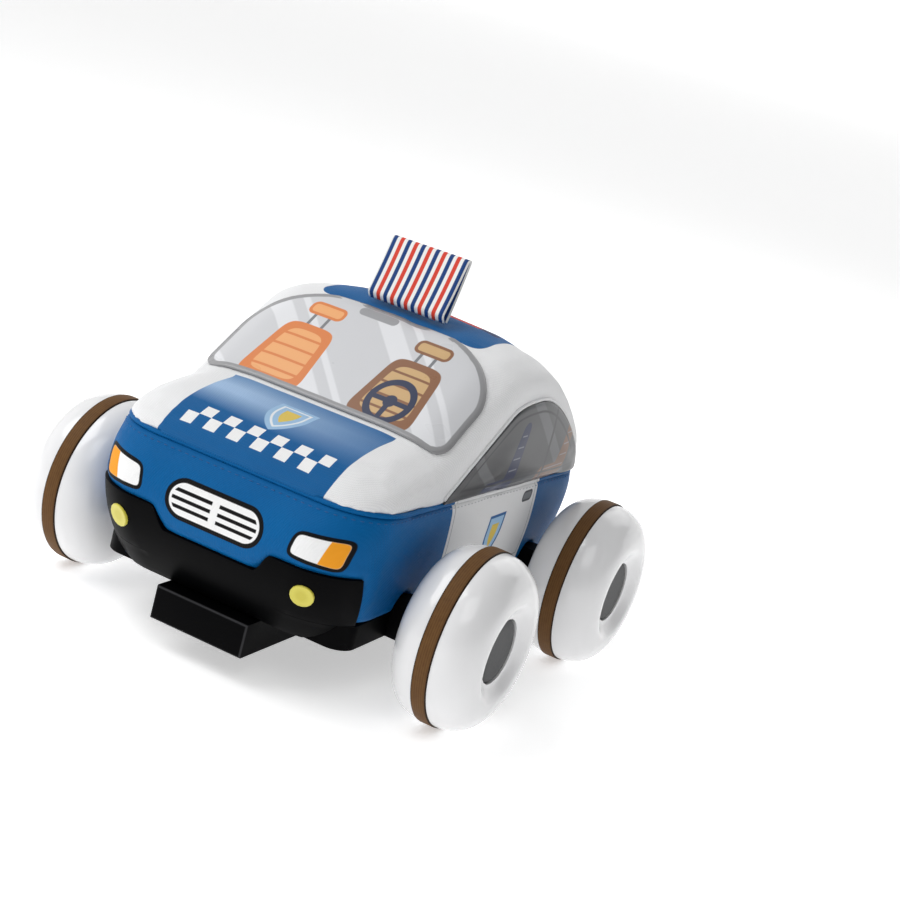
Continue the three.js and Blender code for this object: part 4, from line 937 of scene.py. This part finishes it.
def paintBlack(wire, place, x, y, z):
    grain = wire.noise(place, 900.0, 3.0)
    drift = wire.noise(place, 25.0, 2.0)
    edgeWearAndHighlight = wire.node("ShaderNodeAttribute", {"attribute_name": "edgeWearAndHighlight"}, out=2) * (drift * 0.6 + 0.5)
    # lighter on the block's rounded edges: wear, with a painted highlight
    colour = edgeWearAndHighlight.mix(drift.mix(rgb(3, 3, 4), rgb(6, 6, 7)), rgb(62, 62, 64))
    return {"Base Color": colour, "Roughness": drift * 0.12 + 0.36 - edgeWearAndHighlight * 0.1, "height": (0.04, grain)}


def paintPlain(low, high, rough, scale=300.0, depth=0.03, metal=0.0):
    def paint(wire, place, x, y, z):
        grain = wire.noise(place, scale, 3.0)
        return {"Base Color": grain.mix(low, high), "Roughness": grain * 0.15 + rough, "Metallic": metal,
                "height": (depth, grain)}
    return paint


def paintCell(wire, place, x, y, z):
    grain = wire.noise(place, 200.0, 2.0)
    sleeve = bands(y, 55.0, 16.0, 600.0)
    colour = sleeve.inside().mix(rgb(196, 150, 70), rgb(46, 48, 52))
    return {"Base Color": colour, "Roughness": grain * 0.1 + 0.3}


def paintBoard(wire, place, x, y, z):
    traces = bands(x + y * 0.5, 3.0, 0.35, 300.0).inside(0.2)
    return {"Base Color": traces.mix(rgb(22, 92, 52), rgb(48, 128, 76)), "Roughness": traces * 0.1 + 0.4}


chassisBlack = makeFinish("mouldedBlack", paintBlack, Specular_IOR_Level=0.035)
steelFinish = makeFinish("brightSteel", paintPlain(rgb(150, 152, 156), rgb(182, 184, 188), 0.25, scale=500.0,
                                                   depth=0.02, metal=1.0))
greyPlastic = makeFinish("greyPlastic", paintPlain(rgb(96, 98, 102), rgb(112, 114, 118), 0.4))
gearWhite = makeFinish("gearWhite", paintPlain(rgb(226, 224, 216), rgb(236, 234, 228), 0.35))
cellFinish = makeFinish("cellSleeve", paintCell)
boardFinish = makeFinish("greenBoard", paintBoard)
nodeFinishes = [  # the first that fits a node's name is taken
    (("gear", "pinion"), gearWhite), (("battery_cell",), cellFinish), (("receiver_board",), boardFinish),
    (("chassis_tub", "front_bumper", "battery_door", "inner_deck"), chassisBlack),
    (("battery_terminal", "battery_contact", "screw", "axle"), steelFinish),
    (("drive_motor", "power_switch"), greyPlastic),
]
for name, node in nodes.items():
    for keys, finish in nodeFinishes:
        if any(key in name for key in keys):
            node.data.materials.clear()
            node.data.materials.append(finish)
            break
print("frame nodes finished")

# chassis tub with the edges of its front block rounded, and lighter there for wear with a painted highlight
tubSettings = {"round": 0.9, "blockFront": -110.0}
work = mergedCopy("chassis_tub")
bmesh.ops.dissolve_limit(work, angle_limit=math.radians(1), verts=work.verts, edges=work.edges)
edgeWearAndHighlightLayer = work.verts.layers.float.new("edgeWearAndHighlight")
sharp = [e for e in work.edges if all(v.co.y < tubSettings["blockFront"] * mm for v in e.verts)]
made = bmesh.ops.bevel(work, geom=sharp, offset=tubSettings["round"] * mm, offset_type="OFFSET",
                       affect="EDGES", segments=3, profile=0.5, clamp_overlap=True, material=-1)
rounded = set(made["faces"])
# mark the rounded edges' inner points for the lighter wear and painted highlight
for v in work.verts:
    if all(f in rounded for f in v.link_faces):
        v[edgeWearAndHighlightLayer] = 1
tub = newPiece("chassisTub", work, chassisBlack, 35)
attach(tub, "chassis")
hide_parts("chassis_tub")
print("front block rounded,", len(sharp), "edges")

# front bumper, a smooth plate wrapped round the nose
bumperSettings = {"low": 26.6, "high": 60.2, "dip": 51.4, "dipHalf": 20.9, "slopeHalf": 28.4, "thick": 3.0,
                  "endLow": -100.0, "endRim": -92.5, "endTop": -102.5, "rim": 37.3, "midZ": 55,
                  "columns": 150, "rows": 14, "rowsBelow": 5, "round": 0.6, "roundFrom": 50}


def noseY(z):
    r = bodyRules
    if z < r["noseZ"]:
        return r["nose"] + r["chinIn"] * ((r["noseZ"] - z) / r["chinDrop"]) ** 2
    return r["nose"] + r["browIn"] * ((z - r["noseZ"]) / r["browRise"]) ** 2


def sideX(z):
    r = bodyRules
    return r["halfWidth"] - r["tuck"] * (max(r["beltRear"] - z, 0) / r["chinDrop"]) ** 2


def bumperTop(x):
    s = bumperSettings
    share = min(max((abs(x) - s["dipHalf"]) / (s["slopeHalf"] - s["dipHalf"]), 0), 1)
    return lerp(s["dip"], s["high"], share * share * (3 - 2 * share))


def noseOutline(along, z):  # point on the nose at a signed distance from its middle
    radius = bodyRules["frontCorner"]
    straight = sideX(z) - radius
    run = abs(along)
    if run < straight:
        x, y = run, noseY(z)
    elif run < straight + radius * math.pi / 2:
        turn = (run - straight) / radius
        x, y = straight + radius * math.sin(turn), noseY(z) + radius * (1 - math.cos(turn))
    else:
        x, y = straight + radius, noseY(z) + radius + run - straight - radius * math.pi / 2
    return math.copysign(x, along), y


def sideEnd(z):  # distance along the nose to where the bumper stops
    s = bumperSettings
    radius = bodyRules["frontCorner"]
    end = s["endLow"]
    if z > s["rim"]:
        end = lerp(s["endRim"], s["endTop"], (z - s["rim"]) / (s["high"] - s["rim"]))
    turn = math.acos(min(max(1 - (end - noseY(z)) / radius, -1), 1))
    return sideX(z) - radius + radius * turn


def bumperRow(row, x):  # height of a row of points, with two rows at the step over the tub's rim
    s = bumperSettings
    if row < s["rowsBelow"]:
        return lerp(s["low"] + 0.4, s["rim"] - 0.1, row / (s["rowsBelow"] - 1))
    share = (row - s["rowsBelow"]) / (s["rows"] - s["rowsBelow"])
    return lerp(s["rim"] + 0.1, bumperTop(x) - 0.3, share)


work = bmesh.new()
bmesh.ops.create_grid(work, x_segments=bumperSettings["columns"], y_segments=bumperSettings["rows"], size=0.5)
for v in work.verts:
    share = v.co.x * 2
    row = round((v.co.y + 0.5) * bumperSettings["rows"])
    x = noseOutline(share * sideEnd(bumperSettings["midZ"]), bumperSettings["midZ"])[0]
    z = bumperRow(row, x)
    x, y = noseOutline(share * sideEnd(z), z)
    v.co = (x * mm, y * mm, z * mm)
bmesh.ops.recalc_face_normals(work, faces=work.faces)
if sum(f.normal.y for f in work.faces) > 0:
    bmesh.ops.reverse_faces(work, faces=work.faces)
bumper = newPiece("frontBumper", work, chassisBlack, 60)
wall = bumper.modifiers.new("wall", "SOLIDIFY")
wall.thickness = bumperSettings["thick"] * mm
wall.offset = -1
soft = bumper.modifiers.new("soft", "BEVEL")
soft.width = bumperSettings["round"] * mm
soft.segments = 3
soft.limit_method = "ANGLE"
soft.angle_limit = math.radians(bumperSettings["roundFrom"])
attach(bumper, "chassis")
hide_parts("front_bumper")
print("bumper wrapped")

# fog lamps, round lenses in the bumper
fogSettings = {"x": 43.7, "z": 49.0, "round": 0.4, "edge": rgb(212, 202, 74), "middle": rgb(202, 190, 58)}


def paintFog(wire, place, x, y, z):
    s = fogSettings
    away = ((abs(x) - s["x"]) ** 2.0 + (z - s["z"]) ** 2.0) ** 0.5
    ring = (away - 2.4).inside(1.6)
    return {"Base Color": ring.mix(s["edge"], s["middle"]), "Roughness": ring * 0.1 + 0.3}


fogFinish = makeFinish("yellowFogLens", paintFog, Coat_Weight=0.3)
for hand in ("left", "right"):
    work = mergedCopy("fog_lamp_" + hand)
    bmesh.ops.dissolve_limit(work, angle_limit=math.radians(4), verts=work.verts, edges=work.edges)
    fogLamp = newPiece("fogLamp" + hand.title(), work, fogFinish, 40)
    soft = fogLamp.modifiers.new("soft", "BEVEL")
    soft.width = fogSettings["round"] * mm
    soft.segments = 3
    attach(fogLamp, "chassis")
    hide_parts("fog_lamp_" + hand)
print("fog lamps set")
